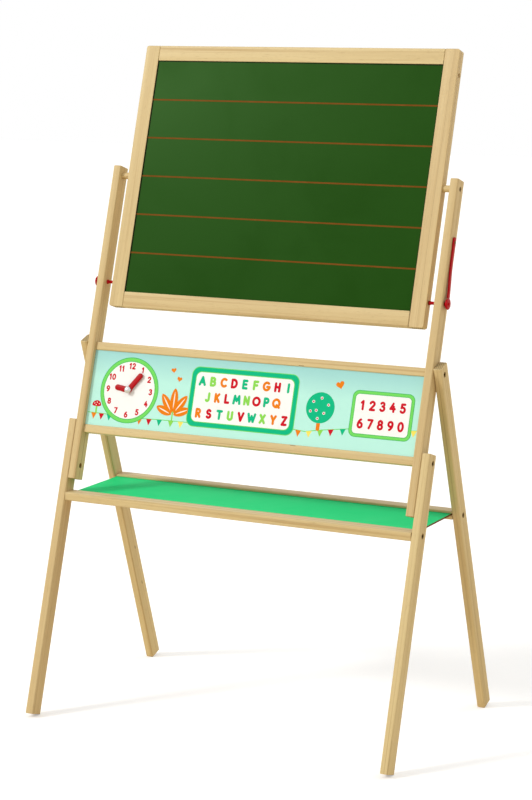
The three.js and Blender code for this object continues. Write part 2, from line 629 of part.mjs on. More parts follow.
// ---------------------------------------------------------------- rear legs
// In the rear frame the origin is on the bolt that joins leg, upright and top rail.
function rearLeg(side) {
  const y = REAR_HOLE_AHEAD;
  const middle = BOLT_FROM_END - rearLegL / 2;
  const body = timberZ(STOCK_T, STOCK_D, rearLegL, STOCK_EDGE, side * legX, y, middle);
  const shelfY = y - shelfBoltIn * Math.cos(REAR_LEAN);
  const shelfAbove = (SHELF_HEIGHT - rearLift) / Math.cos(REAR_LEAN) + shelfBoltIn * Math.sin(REAR_LEAN);
  const shelfZ = shelfAbove - rearBelow;
  return subtractAll(body, [
    boltHole(side, legIn - CUT, legOut, 0, 0),
    boltCounterbore(side, legOut, 0, 0),
    boltHole(side, legIn - CUT, legOut, shelfY, shelfZ),
    boltCounterbore(side, legOut, shelfY, shelfZ),
  ]);
}

// ---------------------------------------------------------------- shelf, level with the floor
function shelfRail(y, towardsPanel, stapled) {
  const body = timberX(STOCK_T, STOCK_D, 2 * shelfRailEnd, STOCK_EDGE, 0, y, 0);
  const face = y + towardsPanel * STOCK_D / 2;
  const grooveY = [face - towardsPanel * SHELF_GROOVE, face + towardsPanel * CUT].sort((a, b) => a - b);
  const low = shelfTopZ - SHELF_T - FIT;
  const groove = block(-shelfRailEnd - CUT, shelfRailEnd + CUT, ...grooveY, low, shelfTopZ + FIT);
  const nutX = shelfRailEnd - NUT_IN_RAIL;
  const boltY = y + towardsPanel * shelfBoltIn;
  const bores = SIDES.flatMap(([, side]) => [
    boltHole(side, shelfRailEnd - BOLT_IN_RAIL - FIT, shelfRailEnd + CUT, boltY, 0),
    rodZ(NUT_R + FIT, -STOCK_T / 2 - CUT, NUT_L / 2 + FIT, side * nutX, boltY),
  ]);
  const holes = stapled ? stapleHoles(SHELF_STAPLE_X, y - STOCK_D / 2, 0) : [];
  return subtractAll(body, [groove, ...bores, ...holes]);
}

function shelfPanel() {
  const halfW = shelfRailEnd - SHELF_END_SHY;
  const front = shelfFrontY + STOCK_D / 2 - SHELF_GROOVE + FIT;
  const back = shelfRearY - STOCK_D / 2 + SHELF_GROOVE - FIT;
  return block(-halfW, halfW, front, back, shelfTopZ - SHELF_T, shelfTopZ);
}

function buildShelf(frame) {
  addAll(frame, [
    ['shelf_front_rail', shelfRail(shelfFrontY, 1, true), wood],
    ['shelf_rear_rail', shelfRail(shelfRearY, -1, false), wood],
    ['shelf_panel', shelfPanel(), shelfGreen],
    ['shelf_staple', staple(SHELF_STAPLE_X, shelfFrontY - STOCK_D / 2, 0), darkSteel],
  ]);
  for (const [word, side] of SIDES) {
    for (const [place, y] of [['front', shelfFrontY + shelfBoltIn], ['rear', shelfRearY - shelfBoltIn]]) {
      const tip = shelfRailEnd - BOLT_IN_RAIL;
      addAll(frame, [
        [`${word}_shelf_${place}_bolt`, railBolt(side, legOut, tip, y, 0), zinc],
        [`${word}_shelf_${place}_nut`, barrelNut('z', side * (shelfRailEnd - NUT_IN_RAIL), y, 0), zinc],
      ]);
    }
  }
}

// ---------------------------------------------------------------- assembly
const easel = new THREE.Group();

const frontFrame = new THREE.Group();
frontFrame.position.set(0, -originY, footLift);
frontFrame.rotation.x = -FRONT_LEAN;
buildFront(frontFrame);
easel.add(frontFrame);

const boardFrame = new THREE.Group();
boardFrame.position.set(0, 0, pivotZ);
buildBoard(boardFrame);
frontFrame.add(boardFrame);

const rearFrame = new THREE.Group();
rearFrame.position.set(0, crossY - originY, crossZ);
rearFrame.rotation.x = REAR_LEAN;
addAll(rearFrame, SIDES.map(([word, side]) => [`${word}_rear_leg`, rearLeg(side), wood]));
easel.add(rearFrame);

const shelfFrame = new THREE.Group();
shelfFrame.position.set(0, -originY, SHELF_HEIGHT);
buildShelf(shelfFrame);
easel.add(shelfFrame);

export default easel;
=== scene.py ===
"""Children's standing easel: timber stand, turning board, printed learning panel and shelf.

Laid out as an add-on: settings, one operator for each kind of piece, and a panel that lists
them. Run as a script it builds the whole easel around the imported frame. Sizes are in metres,
and those of the print are in millimetres.
"""
import json
import math
import zlib

import bmesh
import bpy
from mathutils import Matrix, Vector


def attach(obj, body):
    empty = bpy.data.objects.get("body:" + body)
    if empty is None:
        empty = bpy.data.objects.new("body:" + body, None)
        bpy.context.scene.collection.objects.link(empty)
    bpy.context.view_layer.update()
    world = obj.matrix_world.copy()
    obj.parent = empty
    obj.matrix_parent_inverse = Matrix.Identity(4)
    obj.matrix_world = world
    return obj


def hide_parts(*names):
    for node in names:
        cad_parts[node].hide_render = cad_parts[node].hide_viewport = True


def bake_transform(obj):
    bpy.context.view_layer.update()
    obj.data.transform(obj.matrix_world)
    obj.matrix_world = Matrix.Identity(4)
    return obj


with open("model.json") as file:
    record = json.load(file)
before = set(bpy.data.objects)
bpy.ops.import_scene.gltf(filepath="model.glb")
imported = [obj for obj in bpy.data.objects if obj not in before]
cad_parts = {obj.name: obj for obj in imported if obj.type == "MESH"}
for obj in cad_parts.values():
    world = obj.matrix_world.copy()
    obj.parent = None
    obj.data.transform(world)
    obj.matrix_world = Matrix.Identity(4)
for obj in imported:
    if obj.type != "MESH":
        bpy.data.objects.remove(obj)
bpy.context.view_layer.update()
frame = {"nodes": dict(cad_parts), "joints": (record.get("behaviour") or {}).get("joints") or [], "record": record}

bl_info = {
    "name": "Children's Easel",
    "version": (1, 0, 0),
    "blender": (4, 5, 0),
    "location": "3D View > Sidebar > Easel",
    "description": "Builds a wooden children's easel piece by piece",
    "category": "Add Mesh",
}

MM = 0.001
SIDES = (("left", -1), ("right", 1))
ACROSS = Vector((1, 0, 0))
LEVEL = Matrix.Identity(3)


def linear(red, green, blue):
    """A colour given as it looks on screen, 0 to 255, as the linear values that shaders use."""
    return tuple((c / 255 / 12.92) if c <= 10 else ((c / 255 + 0.055) / 1.055) ** 2.4
                 for c in (red, green, blue))


def shaded(colour, factor):
    return tuple(c * factor for c in colour)


# ---------- bases and extents
def basis_from_up(up):
    """Columns: across, backwards and up along a sloping frame."""
    up = Vector(up).normalized()
    return Matrix((ACROSS, up.cross(ACROSS), up)).transposed()


def listed(items, name):
    return next(item for item in items if item["name"] == name)


CLOCK_JOINT = listed(frame["joints"], "hour_hand_turn")
FRONT_NORMAL = Vector(CLOCK_JOINT["axis"])
FRONT = basis_from_up(ACROSS.cross(-FRONT_NORMAL))
REAR = basis_from_up(-Vector(listed(frame["record"]["mounts"], "left_rear_foot")["axis"]))
CLOCK_CENTRE = FRONT.transposed() @ Vector(CLOCK_JOINT["pos_m"])


def points_of(name, basis):
    turn = basis.transposed()
    return [turn @ v.co for v in frame["nodes"][name].data.vertices]


def extent(name, basis=LEVEL):
    """Lowest and highest corner of a node, measured along the axes of a basis."""
    points = points_of(name, basis)
    return tuple(Vector([pick(p[i] for p in points) for i in range(3)]) for pick in (min, max))


def middle(name, basis=LEVEL):
    low, high = extent(name, basis)
    return (low + high) / 2


def end_x(name, side):
    """The end of a node that faces left (-1) or right (1)."""
    low, high = extent(name)
    return high.x if side > 0 else low.x


def radius_of(name):
    low, high = extent(name)
    return (high.z - low.z) / 2


def length_of(name):
    low, high = extent(name)
    return high.x - low.x


# ---------- settings
def colour_setting(name, description, *screen):
    return bpy.props.FloatVectorProperty(
        name=name, description=description, subtype="COLOR", default=linear(*screen))


def number_setting(name, description, default, least=0.0, **kind):
    return bpy.props.FloatProperty(
        name=name, description=description, default=default, min=least, **kind)


class EaselTimberSettings(bpy.types.PropertyGroup):
    """Colour and finish of the wood."""
    light: colour_setting("Light wood", "Colour between the growth lines", 222, 201, 148)
    dark: colour_setting("Grain lines", "Colour of the growth lines", 172, 136, 80)
    edge: number_setting("Edge rounding", "Radius of the long edges", 2.2 * MM, 0.5 * MM,
                         max=5 * MM, unit="LENGTH")
    end_chamfer: number_setting("End chamfer", "Bevel around each sawn end", 0.7 * MM, 0.1 * MM,
                                max=2 * MM, unit="LENGTH")


class EaselPaintSettings(bpy.types.PropertyGroup):
    """Colours of the sheets, the print and the plastic."""
    chalk: colour_setting("Chalk sheet", "Green of the chalk sheet", 20, 60, 2)
    ruling: colour_setting("Ruled lines", "Colour of the lines on the chalk sheet", 122, 72, 12)
    dry_wipe: colour_setting("Dry-wipe sheet", "White of the sheet at the back", 238, 240, 239)
    panel: colour_setting("Print ground", "Ground colour of the printed panel", 190, 244, 230)
    shelf: colour_setting("Shelf", "Paint on the shelf panel", 34, 218, 130)
    plastic: colour_setting("Plastic", "Red of the pins, straps and clock hands", 182, 6, 18)


class EaselStageSettings(bpy.types.PropertyGroup):
    """Floor, lamps and camera."""
    floor: colour_setting("Floor", "Colour of the floor and backdrop", 238, 237, 234)
    bounce: colour_setting("Floor bounce", "Colour of the light that the floor sends back up",
                           244, 228, 200)
    sun: number_setting("Sun", "Strength of the even light from the upper left", 1.2)
    key_power: number_setting("Key lamp", "Power of the large lamp, in watts", 12.0)
    sky: number_setting("Sky", "Strength of the even light from all round", 0.64)
    lift: number_setting("Floor lift", "Extra brightness of the floor, seen by the camera only", 0.33)
    camera_at: bpy.props.FloatVectorProperty(
        name="Camera", description="Place of the camera",
        subtype="XYZ", unit="LENGTH", default=(1.786, -3.4233, 1.2571))
    camera_yaw: number_setting("Camera yaw", "Turn of the camera to the left",
                               math.radians(27.388), -math.pi, unit="ROTATION")
    camera_pitch: number_setting("Camera pitch", "Tilt of the camera below the horizon",
                                 math.radians(10.089), -math.pi, unit="ROTATION")
    lens: number_setting("Lens", "Focal length in millimetres on a 36 mm frame", 100.18, 10.0)


# ---------- material parts
def new_group(name, inputs, outputs):
    """An empty node group with named sockets. Returns it with its two end nodes."""
    group = bpy.data.node_groups.new(name, "ShaderNodeTree")
    for label, kind, value in inputs:
        socket = group.interface.new_socket(name=label, in_out="INPUT", socket_type="NodeSocket" + kind)
        if value is not None:
            socket.default_value = value
    for label, kind in outputs:
        group.interface.new_socket(name=label, in_out="OUTPUT", socket_type="NodeSocket" + kind)
    return group, group.nodes.new("NodeGroupInput").outputs, group.nodes.new("NodeGroupOutput")


def node(tree, kind, links=None, **values):
    """Adds a shader node, sets its plain properties and links or sets its inputs."""
    made = tree.nodes.new("ShaderNode" + kind)
    for key, value in values.items():
        setattr(made, key, value)
    for key, value in (links or {}).items():
        if isinstance(value, bpy.types.NodeSocket):
            tree.links.new(value, made.inputs[key])
        else:
            made.inputs[key].default_value = value
    return made


def feed(tree, target, **sources):
    """Links each source to the input of that name."""
    for name, source in sources.items():
        tree.links.new(source, target.inputs[name.replace("_", " ")])


def noise(tree, vector, scale, detail=4.0, roughness=0.55, distortion=0.0):
    return node(tree, "TexNoise", {
        "Vector": vector, "Scale": scale, "Detail": detail,
        "Roughness": roughness, "Distortion": distortion}).outputs["Fac"]


def stretch(tree, value, low, high, to_low=0.0, to_high=1.0):
    return node(tree, "MapRange", {
        "Value": value, "From Min": low, "From Max": high,
        "To Min": to_low, "To Max": to_high}).outputs["Result"]


def mixed(tree, factor, first, second, blend="MIX"):
    return node(tree, "Mix", {0: factor, 6: first, 7: second},
                data_type="RGBA", blend_type=blend).outputs[2]


def maths(tree, operation, first, second=0.5):
    return node(tree, "Math", {0: first, 1: second}, operation=operation).outputs[0]


def times(tree, first, second):
    return maths(tree, "MULTIPLY", first, second)


def along(tree, vector, direction):
    """How far a vector reaches in a direction."""
    return node(tree, "VectorMath", {0: vector, 1: tuple(direction)},
                operation="DOT_PRODUCT").outputs["Value"]


def scaled(tree, vector, scale):
    return node(tree, "Mapping", {"Vector": vector, "Scale": scale}).outputs[0]


def grain_group():
    """Straight-grained birch: streaks, growth lines, short pores and small pin knots."""
    made = bpy.data.node_groups.get("Timber Grain")
    if made:
        return made
    tree, given, out = new_group(
        "Timber Grain", [("Vector", "Vector", None), ("Light", "Color", None), ("Dark", "Color", None)],
        [("Color", "Color"), ("Roughness", "Float"), ("Height", "Float")])
    place, dark = given["Vector"], given["Dark"]

    def fibres(scale, low, high, detail, roughness=0.5, distortion=0.0):
        drawn_out = noise(tree, scaled(tree, place, scale), 1.0, detail, roughness, distortion)
        return stretch(tree, drawn_out, low, high)

    streaks = fibres((2.2, 95, 95), 0.34, 0.72, 7.0, 0.62, 0.4)
    lines = fibres((1.0, 170, 170), 0.54, 0.74, 3.0, 0.6, 0.6)
    piece = fibres((0.03, 0.3, 0.3), 0.38, 0.62, 1.0)
    pores = fibres((60, 1300, 1300), 0.63, 0.74, 2.0)
    tone = fibres((1.2, 9, 9), 0.3, 0.7, 2.0)
    heart = fibres((0.7, 230, 230), 0.66, 0.71, 2.0, 0.5, 0.3)
    cell = node(tree, "TexVoronoi", {"Vector": scaled(tree, place, (13, 38, 38)), "Scale": 1.0})
    chosen = node(tree, "SeparateColor", {0: cell.outputs["Color"]}).outputs[0]
    knot = times(tree, stretch(tree, cell.outputs["Distance"], 0.03, 0.065, 1.0, 0.0),
                 maths(tree, "GREATER_THAN", chosen, 0.6))
    amount = maths(tree, "ADD", times(tree, streaks, 0.3), times(tree, lines, 0.6))
    colour = mixed(tree, amount, given["Light"], dark)
    for mask, share, tint in ((piece, 0.2, (0.58, 0.37, 0.19, 1)), (tone, 0.2, dark),
                              (pores, 0.4, (0.30, 0.17, 0.06, 1)), (heart, 0.65, (0.27, 0.15, 0.05, 1)),
                              (knot, 0.7, (0.10, 0.05, 0.02, 1))):
        colour = mixed(tree, times(tree, mask, share), colour, tint)
    feed(tree, out, Color=colour, Roughness=stretch(tree, amount, 0.0, 0.8, 0.42, 0.6),
         Height=maths(tree, "SUBTRACT", times(tree, streaks, -0.5), pores))
    return tree


def mottle_group():
    """Uneven coat, fine tooth and scuffs, for paint, print, plastic and metal."""
    made = bpy.data.node_groups.get("Surface Mottle")
    if made:
        return made
    tree, given, out = new_group(
        "Surface Mottle",
        [("Vector", "Vector", None), ("Color", "Color", None), ("Worn", "Color", None),
         ("Patch Size", "Float", 20.0), ("Tooth Size", "Float", 900.0), ("Variation", "Float", 0.2),
         ("Roughness", "Float", 0.4)],
        [("Color", "Color"), ("Roughness", "Float"), ("Height", "Float")])
    patches = stretch(tree, noise(tree, given["Vector"], given["Patch Size"], 5.0, 0.6, 0.5), 0.35, 0.75)
    uneven = times(tree, maths(tree, "SUBTRACT", patches, 0.5), 0.16)
    share = times(tree, patches, given["Variation"])
    feed(tree, out, Color=mixed(tree, share, given["Color"], given["Worn"]),
         Roughness=maths(tree, "ADD", given["Roughness"], uneven),
         Height=noise(tree, given["Vector"], given["Tooth Size"], 3.0, 0.6))
    return tree


def principled(name, **values):
    """A material with its own shader. Plain numbers are set on the shader's sockets."""
    made = bpy.data.materials.new(name)
    made.use_nodes = True
    shader = made.node_tree.nodes["Principled BSDF"]
    for key, value in values.items():
        shader.inputs[key.replace("_", " ")].default_value = value
    return made, made.node_tree, shader


def finish_with(tree, shader, colour, roughness, height, strength, distance):
    """Gives the shader its colour and roughness, and raises the surface by height."""
    raised = node(tree, "Bump", {"Height": height, "Strength": strength, "Distance": distance})
    feed(tree, shader, Base_Color=colour, Roughness=roughness, Normal=raised.outputs[0])


def grain_place(tree):
    return node(tree, "Attribute", attribute_name="grain").outputs["Vector"]


def object_place(tree):
    return node(tree, "TexCoord").outputs["Object"]


def timber_material(name, light, dark):
    made, tree, shader = principled(name, Specular_IOR_Level=0.2, Coat_Weight=0.04, Coat_Roughness=0.3)
    grain = node(tree, "Group", {"Vector": grain_place(tree), "Light": (*light, 1), "Dark": (*dark, 1)},
                 node_tree=grain_group()).outputs
    finish_with(tree, shader, grain["Color"], grain["Roughness"], grain["Height"], 0.35, 0.12 * MM)
    return made


def end_grain_material(name, light, dark):
    """Sawn ends: curved growth rings with a dry, rougher face."""
    made, tree, shader = principled(name, Specular_IOR_Level=0.3)
    place = grain_place(tree)
    rings = node(tree, "TexWave", {
        "Vector": scaled(tree, place, (0.0, 1.0, 1.0)), "Scale": 95.0, "Distortion": 2.5,
        "Detail": 3.0, "Detail Scale": 40.0}, wave_type="RINGS", rings_direction="X").outputs["Fac"]
    speck = noise(tree, place, 2600.0, 3.0, 0.7)
    share = maths(tree, "ADD", times(tree, rings, 0.5), times(tree, speck, 0.5))
    finish_with(tree, shader, mixed(tree, share, (*light, 1), (*dark, 1)),
                stretch(tree, speck, 0.3, 0.7, 0.6, 0.85), share, 0.4, 0.2 * MM)
    return made


def coat_material(name, colour, worn, patch=14.0, tooth=700.0, variation=0.2, roughness=0.4,
                  strength=0.1, distance=0.05 * MM, **values):
    """Paint, moulded plastic or metal, with an uneven coat and a fine tooth."""
    made, tree, shader = principled(name, **values)
    coat = node(tree, "Group", {
        "Vector": object_place(tree), "Color": (*colour, 1), "Worn": (*worn, 1), "Patch Size": patch,
        "Tooth Size": tooth, "Variation": variation, "Roughness": roughness},
        node_tree=mottle_group()).outputs
    finish_with(tree, shader, coat["Color"], coat["Roughness"], coat["Height"], strength, distance)
    return made


def coat_of(made):
    """A coat's node tree, a socket with the place on the object, its shader and its colour so far."""
    tree = made.node_tree
    shader = tree.nodes["Principled BSDF"]
    return tree, object_place(tree), shader, shader.inputs["Base Color"].links[0].from_socket


def leave_bare(made, face):
    """Keeps the coat on the side that faces along face, and shows brown hardboard elsewhere."""
    tree, place, shader, coated = coat_of(made)
    facing = along(tree, node(tree, "TexCoord").outputs["Normal"], face)
    fibres = noise(tree, place, 420.0, 6.0, 0.7)
    board = linear(112, 74, 44)
    bare = mixed(tree, fibres, (*shaded(board, 0.6), 1), (*shaded(board, 1.35), 1))
    feed(tree, shader, Base_Color=mixed(tree, stretch(tree, facing, 0.4, 0.6), bare, coated))


def deepen_upwards(made):
    """Lays a deeper blue over the upper third of the printed panel."""
    tree, place, shader, under = coat_of(made)
    low, high = extent("print_panel")
    from_share, depth = 0.62, 0.85
    start = low.z + from_share * (high.z - low.z)
    share = stretch(tree, along(tree, place, (0, 0, 1)), start, high.z, 0.0, depth)
    ratio = [c / g for c, g in zip(linear(150, 208, 210), bpy.context.scene.easel_paint.panel)]
    over = mixed(tree, share, (1, 1, 1, 1), (*ratio, 1))
    feed(tree, shader, Base_Color=mixed(tree, 1.0, under, over, "MULTIPLY"))


def darken_border(made):
    """Paints shade onto the chalk sheet along its sides and top, where the frame casts its shadow."""
    tree, place, shader, painted = coat_of(made)
    border, soft, cover, shadow = 2.1 * MM, 0.5 * MM, 0.92, (0.004, 0.006, 0.002, 1)
    side = extent("right_board_stile", FRONT)[0].x - border
    top = extent("board_top_rail", FRONT)[0].z - border
    outwards = maths(tree, "ABSOLUTE", along(tree, place, ACROSS))
    upwards = along(tree, place, FRONT.col[2])
    mask = maths(tree, "MAXIMUM", stretch(tree, outwards, side, side + soft),
                 stretch(tree, upwards, top, top + soft))
    feed(tree, shader, Base_Color=mixed(tree, times(tree, mask, cover), painted, shadow))


# wood: maker, share of the light colour, share of the dark colour
WOODS = {
    "Birch": (timber_material, 1.0, 1.0),
    "Birch End": (end_grain_material, 0.8, 0.62),
    "Dowel Wood": (timber_material, 1.04, 1.1),
}
# paint: its setting, share of it where worn, the side that it covers, the coat's values
PAINTS = {
    "Chalk Green": ("chalk", 1.6, FRONT_NORMAL, dict(
        patch=5.0, tooth=1500.0, variation=0.12, roughness=0.36, distance=0.1 * MM,
        Specular_IOR_Level=0.15, Specular_Tint=(0.4, 1, 0.25, 1))),
    "Chalk Ruling": ("ruling", 0.7, None, dict(
        patch=40.0, tooth=1500.0, variation=0.5, roughness=0.7, Specular_IOR_Level=0.1)),
    "Dry-Wipe White": ("dry_wipe", 0.93, -FRONT_NORMAL, dict(
        patch=6.0, tooth=300.0, variation=0.4, roughness=0.16, Coat_Weight=0.4, Coat_Roughness=0.08)),
    "Printed Ground": ("panel", 0.9, FRONT_NORMAL, dict(
        patch=9.0, tooth=1100.0, roughness=0.46, Specular_IOR_Level=0.1)),
    "Shelf Green": ("shelf", 0.85, (0, 0, 1), dict(
        patch=7.0, tooth=500.0, roughness=0.6, Specular_IOR_Level=0.05)),
    "Red Plastic": ("plastic", 0.8, None, dict(
        patch=60.0, tooth=1800.0, variation=0.3, roughness=0.36, strength=0.12,
        Specular_IOR_Level=0.14)),
}
# metal: colour, colour where worn, the coat's values
METALS = {
    "Bright Steel": ((222, 224, 224), (178, 180, 180), dict(
        patch=120.0, tooth=2500.0, variation=0.4, roughness=0.24)),
    "Zinc Plate": ((146, 118, 62), (84, 62, 28), dict(
        patch=180.0, tooth=2500.0, variation=0.6, roughness=0.32, strength=0.3)),
    "Staple Wire": ((96, 84, 70), (48, 38, 30), dict(
        patch=400.0, tooth=3000.0, variation=0.7, roughness=0.42, strength=0.3)),
}
INKS = {
    "Ink Teal": (8, 190, 134), "Ink Leaf": (142, 220, 84), "Ink Orange": (238, 130, 12),
    "Ink Red": (208, 14, 36), "Ink White": (250, 252, 250), "Ink Yellow": (250, 232, 104),
    "Ink Lime": (118, 222, 100), "Ink Deep": (54, 186, 96), "Ink Cream": (252, 244, 226),
}


def material(name):
    """The named finish, made the first time that it is asked for."""
    made = bpy.data.materials.get(name)
    if made:
        return made
    scene = bpy.context.scene
    if name in WOODS:
        maker, light, dark = WOODS[name]
        wood = scene.easel_timber
        return maker(name, shaded(wood.light, light), shaded(wood.dark, dark))
    if name in METALS:
        colour, worn, values = METALS[name]
        return coat_material(name, linear(*colour), linear(*worn), Metallic=1.0, **values)
    if name in INKS:
        colour = linear(*INKS[name])
        return coat_material(name, colour, shaded(colour, 0.88), patch=30.0, tooth=1400.0,
                             variation=0.3, roughness=0.5, Specular_IOR_Level=0.06)
    setting, wear, face, values = PAINTS[name]
    colour = tuple(getattr(scene.easel_paint, setting))
    made = coat_material(name, colour, shaded(colour, wear), **values)
    if face is not None:
        leave_bare(made, face)
    # Painted shade along the sides and top of the chalk sheet, beside the frame.
    if name == "Chalk Green":
        darken_border(made)
    if name == "Printed Ground":
        deepen_upwards(made)
    return made


# ---------- mesh parts
def add_object(name, data):
    made = bpy.data.objects.new(name, data)
    bpy.context.scene.collection.objects.link(made)
    return made


def object_from_bmesh(name, bm):
    mesh = bpy.data.meshes.new(name)
    bm.to_mesh(mesh)
    bm.free()
    return add_object(name, mesh)


def arc(cx, cy, rx, ry, first, last, steps=14):
    """Points along an arc, with its angles in degrees."""
    angles = [math.radians(first + (last - first) * i / steps) for i in range(steps + 1)]
    return [(cx + rx * math.cos(a), cy + ry * math.sin(a)) for a in angles]


def disc(radius, x, y, sides=96):
    return arc(x, y, radius, radius, 0, 360, sides)[:-1]


def rounded_section(width, depth, radius, steps=5):
    """Corner arcs of a rounded rectangle, anticlockwise."""
    radius = min(radius, width / 2 - 1e-6, depth / 2 - 1e-6)
    points = []
    for quarter, (sx, sy) in enumerate(((1, 1), (-1, 1), (-1, -1), (1, -1))):
        points += arc(sx * (width / 2 - radius), sy * (depth / 2 - radius), radius, radius,
                      90 * quarter, 90 * quarter + 90, steps)
    return points


def loft(name, rings):
    """A closed tube through rings of points, each with as many points as the others."""
    bm = bmesh.new()
    rows = [[bm.verts.new(p) for p in ring] for ring in rings]
    for lower, upper in zip(rows, rows[1:]):
        for i in range(len(lower)):
            j = (i + 1) % len(lower)
            bm.faces.new((lower[i], lower[j], upper[j], upper[i]))
    bm.faces.new(rows[0][::-1])
    bm.faces.new(rows[-1])
    bmesh.ops.recalc_face_normals(bm, faces=bm.faces)
    return object_from_bmesh(name, bm)


def lathe(name, profile, start, axis, sides=48):
    """A turned piece. profile holds (radius, distance along axis from start)."""
    start, axis = Vector(start), Vector(axis).normalized()
    side = axis.orthogonal().normalized()
    other = axis.cross(side)
    return loft(name, [[start + axis * distance + side * a + other * b
                        for a, b in disc(max(radius, 1e-6), 0, 0, sides)] for radius, distance in profile])


def bar_profile(radius, length, chamfer):
    """A plain round bar with bevelled ends."""
    return [(radius - chamfer, 0), (radius, chamfer), (radius, length - chamfer),
            (radius - chamfer, length)]


def timber_mesh(name, low, high, basis, run, edge, chamfer):
    """A sawn and sanded length of timber: rounded long edges and a bevel at each end."""
    first, second = [i for i in range(3) if i != run]
    size, centre = high - low, (high + low) / 2
    rings = []
    for distance, inset in ((0, chamfer), (chamfer, 0), (size[run] - chamfer, 0), (size[run], chamfer)):
        ring = []
        for a, b in rounded_section(size[first] - 2 * inset, size[second] - 2 * inset, edge):
            point = Vector(centre)
            point[first] += a
            point[second] += b
            point[run] = low[run] + distance
            ring.append(basis @ point)
        rings.append(ring)
    return loft(name, rings)


def cutting_rod(radius, start, end, sides=32):
    start, end = Vector(start), Vector(end)
    return lathe("cutter", [(radius, 0), (radius, (end - start).length)], start, end - start, sides)


def box(low, high, basis=LEVEL, name="cutter"):
    (x0, y0, z0), (x1, y1, z1) = low, high
    return loft(name, [[basis @ Vector((x, y, z)) for x, y in ((x0, y0), (x1, y0), (x1, y1), (x0, y1))]
                       for z in (z0, z1)])


def carve(piece, cutters, operation="DIFFERENCE"):
    """Cuts the piece with each cutter in turn and removes the cutters."""
    for cutter in cutters:
        change = piece.modifiers.new("cut", "BOOLEAN")
        change.object = cutter
        change.operation = operation
        change.solver = "EXACT"
    bpy.context.view_layer.update()
    shape = piece.evaluated_get(bpy.context.evaluated_depsgraph_get())
    mesh = bpy.data.meshes.new_from_object(shape)
    piece.modifiers.clear()
    old, piece.data = piece.data, mesh
    bpy.data.meshes.remove(old)
    for cutter in cutters:
        data = cutter.data
        bpy.data.objects.remove(cutter)
        bpy.data.meshes.remove(data)


def add_grain(piece, basis, run):
    """Gives each point its place along and across the timber, with an own start for each piece."""
    turn = basis.transposed()
    order = [run] + [i for i in range(3) if i != run]
    seed = zlib.crc32(piece.name.encode()) % 997
    start = Vector((seed * 0.37, seed * 0.113, seed * 0.071))
    values = []
    for vertex in piece.data.vertices:
        local = turn @ vertex.co
        values.extend(Vector([local[i] for i in order]) + start)
    attribute = piece.data.attributes.new("grain", "FLOAT_VECTOR", "POINT")
    attribute.data.foreach_set("vector", values)


def end_faces(piece, axis):
    """Gives the sawn ends the second finish."""
    nearly_square = 0.9
    for face in piece.data.polygons:
        if abs(face.normal.dot(axis)) > nearly_square:
            face.material_index = 1


def surface(piece, finishes, smooth):
    """Sets the finishes, and shades the piece smooth up to an angle in degrees."""
    piece.data.materials.clear()
    for finish in finishes:
        piece.data.materials.append(material(finish))
    piece.data.polygons.foreach_set("use_smooth", [True] * len(piece.data.polygons))
    piece.data.set_sharp_from_angle(angle=math.radians(smooth))


def settle(piece, body, slot, name, *finishes, smooth=32.0):
    """Sets the finish and the body that the piece rides on, and hides the node that it stands for."""
    surface(piece, finishes, smooth)
    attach(piece, body)
    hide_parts(name)


def settle_metal(piece, name, finish="Zinc Plate", smooth=32.0):
    settle(piece, "stand", "zinc_plated_steel", name, finish, smooth=smooth)


# ---------- timber and its holes
FIT = 0.3 * MM
OVERRUN = 1 * MM
SHANK = 3.3 * MM
BOLT_SEAT = 4.3 * MM
PIVOT_SCREW_SEAT = 3.2 * MM
OVERLAP_SCREW_SEAT = 4.4 * MM
PIN_HOLE_RADIUS = 4.1 * MM
PIN_HOLE_DEPTH = 5 * MM
NUT_BORE = 50 * MM
GROOVE_PAST_END = 5 * MM
BOARD_CORNER = 5.5 * MM
BOARD_EDGE = 1.3 * MM
SHEET_SHADOW_GAP = 1.6 * MM
# rail, place of its nuts, the sheet in its groove, its basis, the side that its nuts show on
RAILS = (
    ("panel_top_rail", "top_rail", "print_panel", FRONT, 1, 1),
    ("panel_bottom_rail", "bottom_rail", "print_panel", FRONT, 1, 1),
    ("shelf_front_rail", "shelf_front", "shelf_panel", LEVEL, 2, -1),
    ("shelf_rear_rail", "shelf_rear", "shelf_panel", LEVEL, 2, -1),
)


def rod_along_x(radius, x0, x1, name):
    """A cutter on the axis of a node that lies along X."""
    place = middle(name)
    return cutting_rod(radius, (x0, place.y, place.z), (x1, place.y, place.z))


def leg_cutters(leg, side, bolts):
    """Holes and counterbores of a leg for its bolts."""
    past_in, past_out = end_x(leg, -side) - side * OVERRUN, end_x(leg, side) + side * OVERRUN
    cutters = []
    for bolt in bolts:
        floor = end_x(bolt, side) - side * BOLT_SEAT
        cutters += [rod_along_x(radius_of(bolt) + FIT, floor, past_out, bolt),
                    rod_along_x(SHANK, past_in, floor + side * OVERRUN, bolt)]
    return cutters


def upright_cutters(word, side):
    """Holes of an upright: bolts, pin, pivot dowel and screw, and the overlap screw."""
    inner, outer = end_x(f"{word}_upright", -side), end_x(f"{word}_upright", side)
    past_in, past_out = inner - side * OVERRUN, outer + side * OVERRUN
    dowel, pivot, overlap = f"{word}_pivot_dowel", f"{word}_pivot_screw", f"{word}_overlap_screw"
    holes = (
        (SHANK, past_in, past_out, f"{word}_rear_leg_bolt"),
        (SHANK, past_in, past_out, f"{word}_front_leg_bolt"),
        (PIN_HOLE_RADIUS, past_in, past_out, f"{word}_lock_pin"),
        (radius_of(dowel) + FIT, past_in, end_x(dowel, side) + side * FIT, pivot),
        (radius_of(pivot) + FIT, outer - side * (PIVOT_SCREW_SEAT + FIT), past_out, pivot),
        (radius_of(overlap) + FIT, past_in, inner + side * (OVERLAP_SCREW_SEAT + FIT), overlap))
    return [rod_along_x(*hole) for hole in holes]


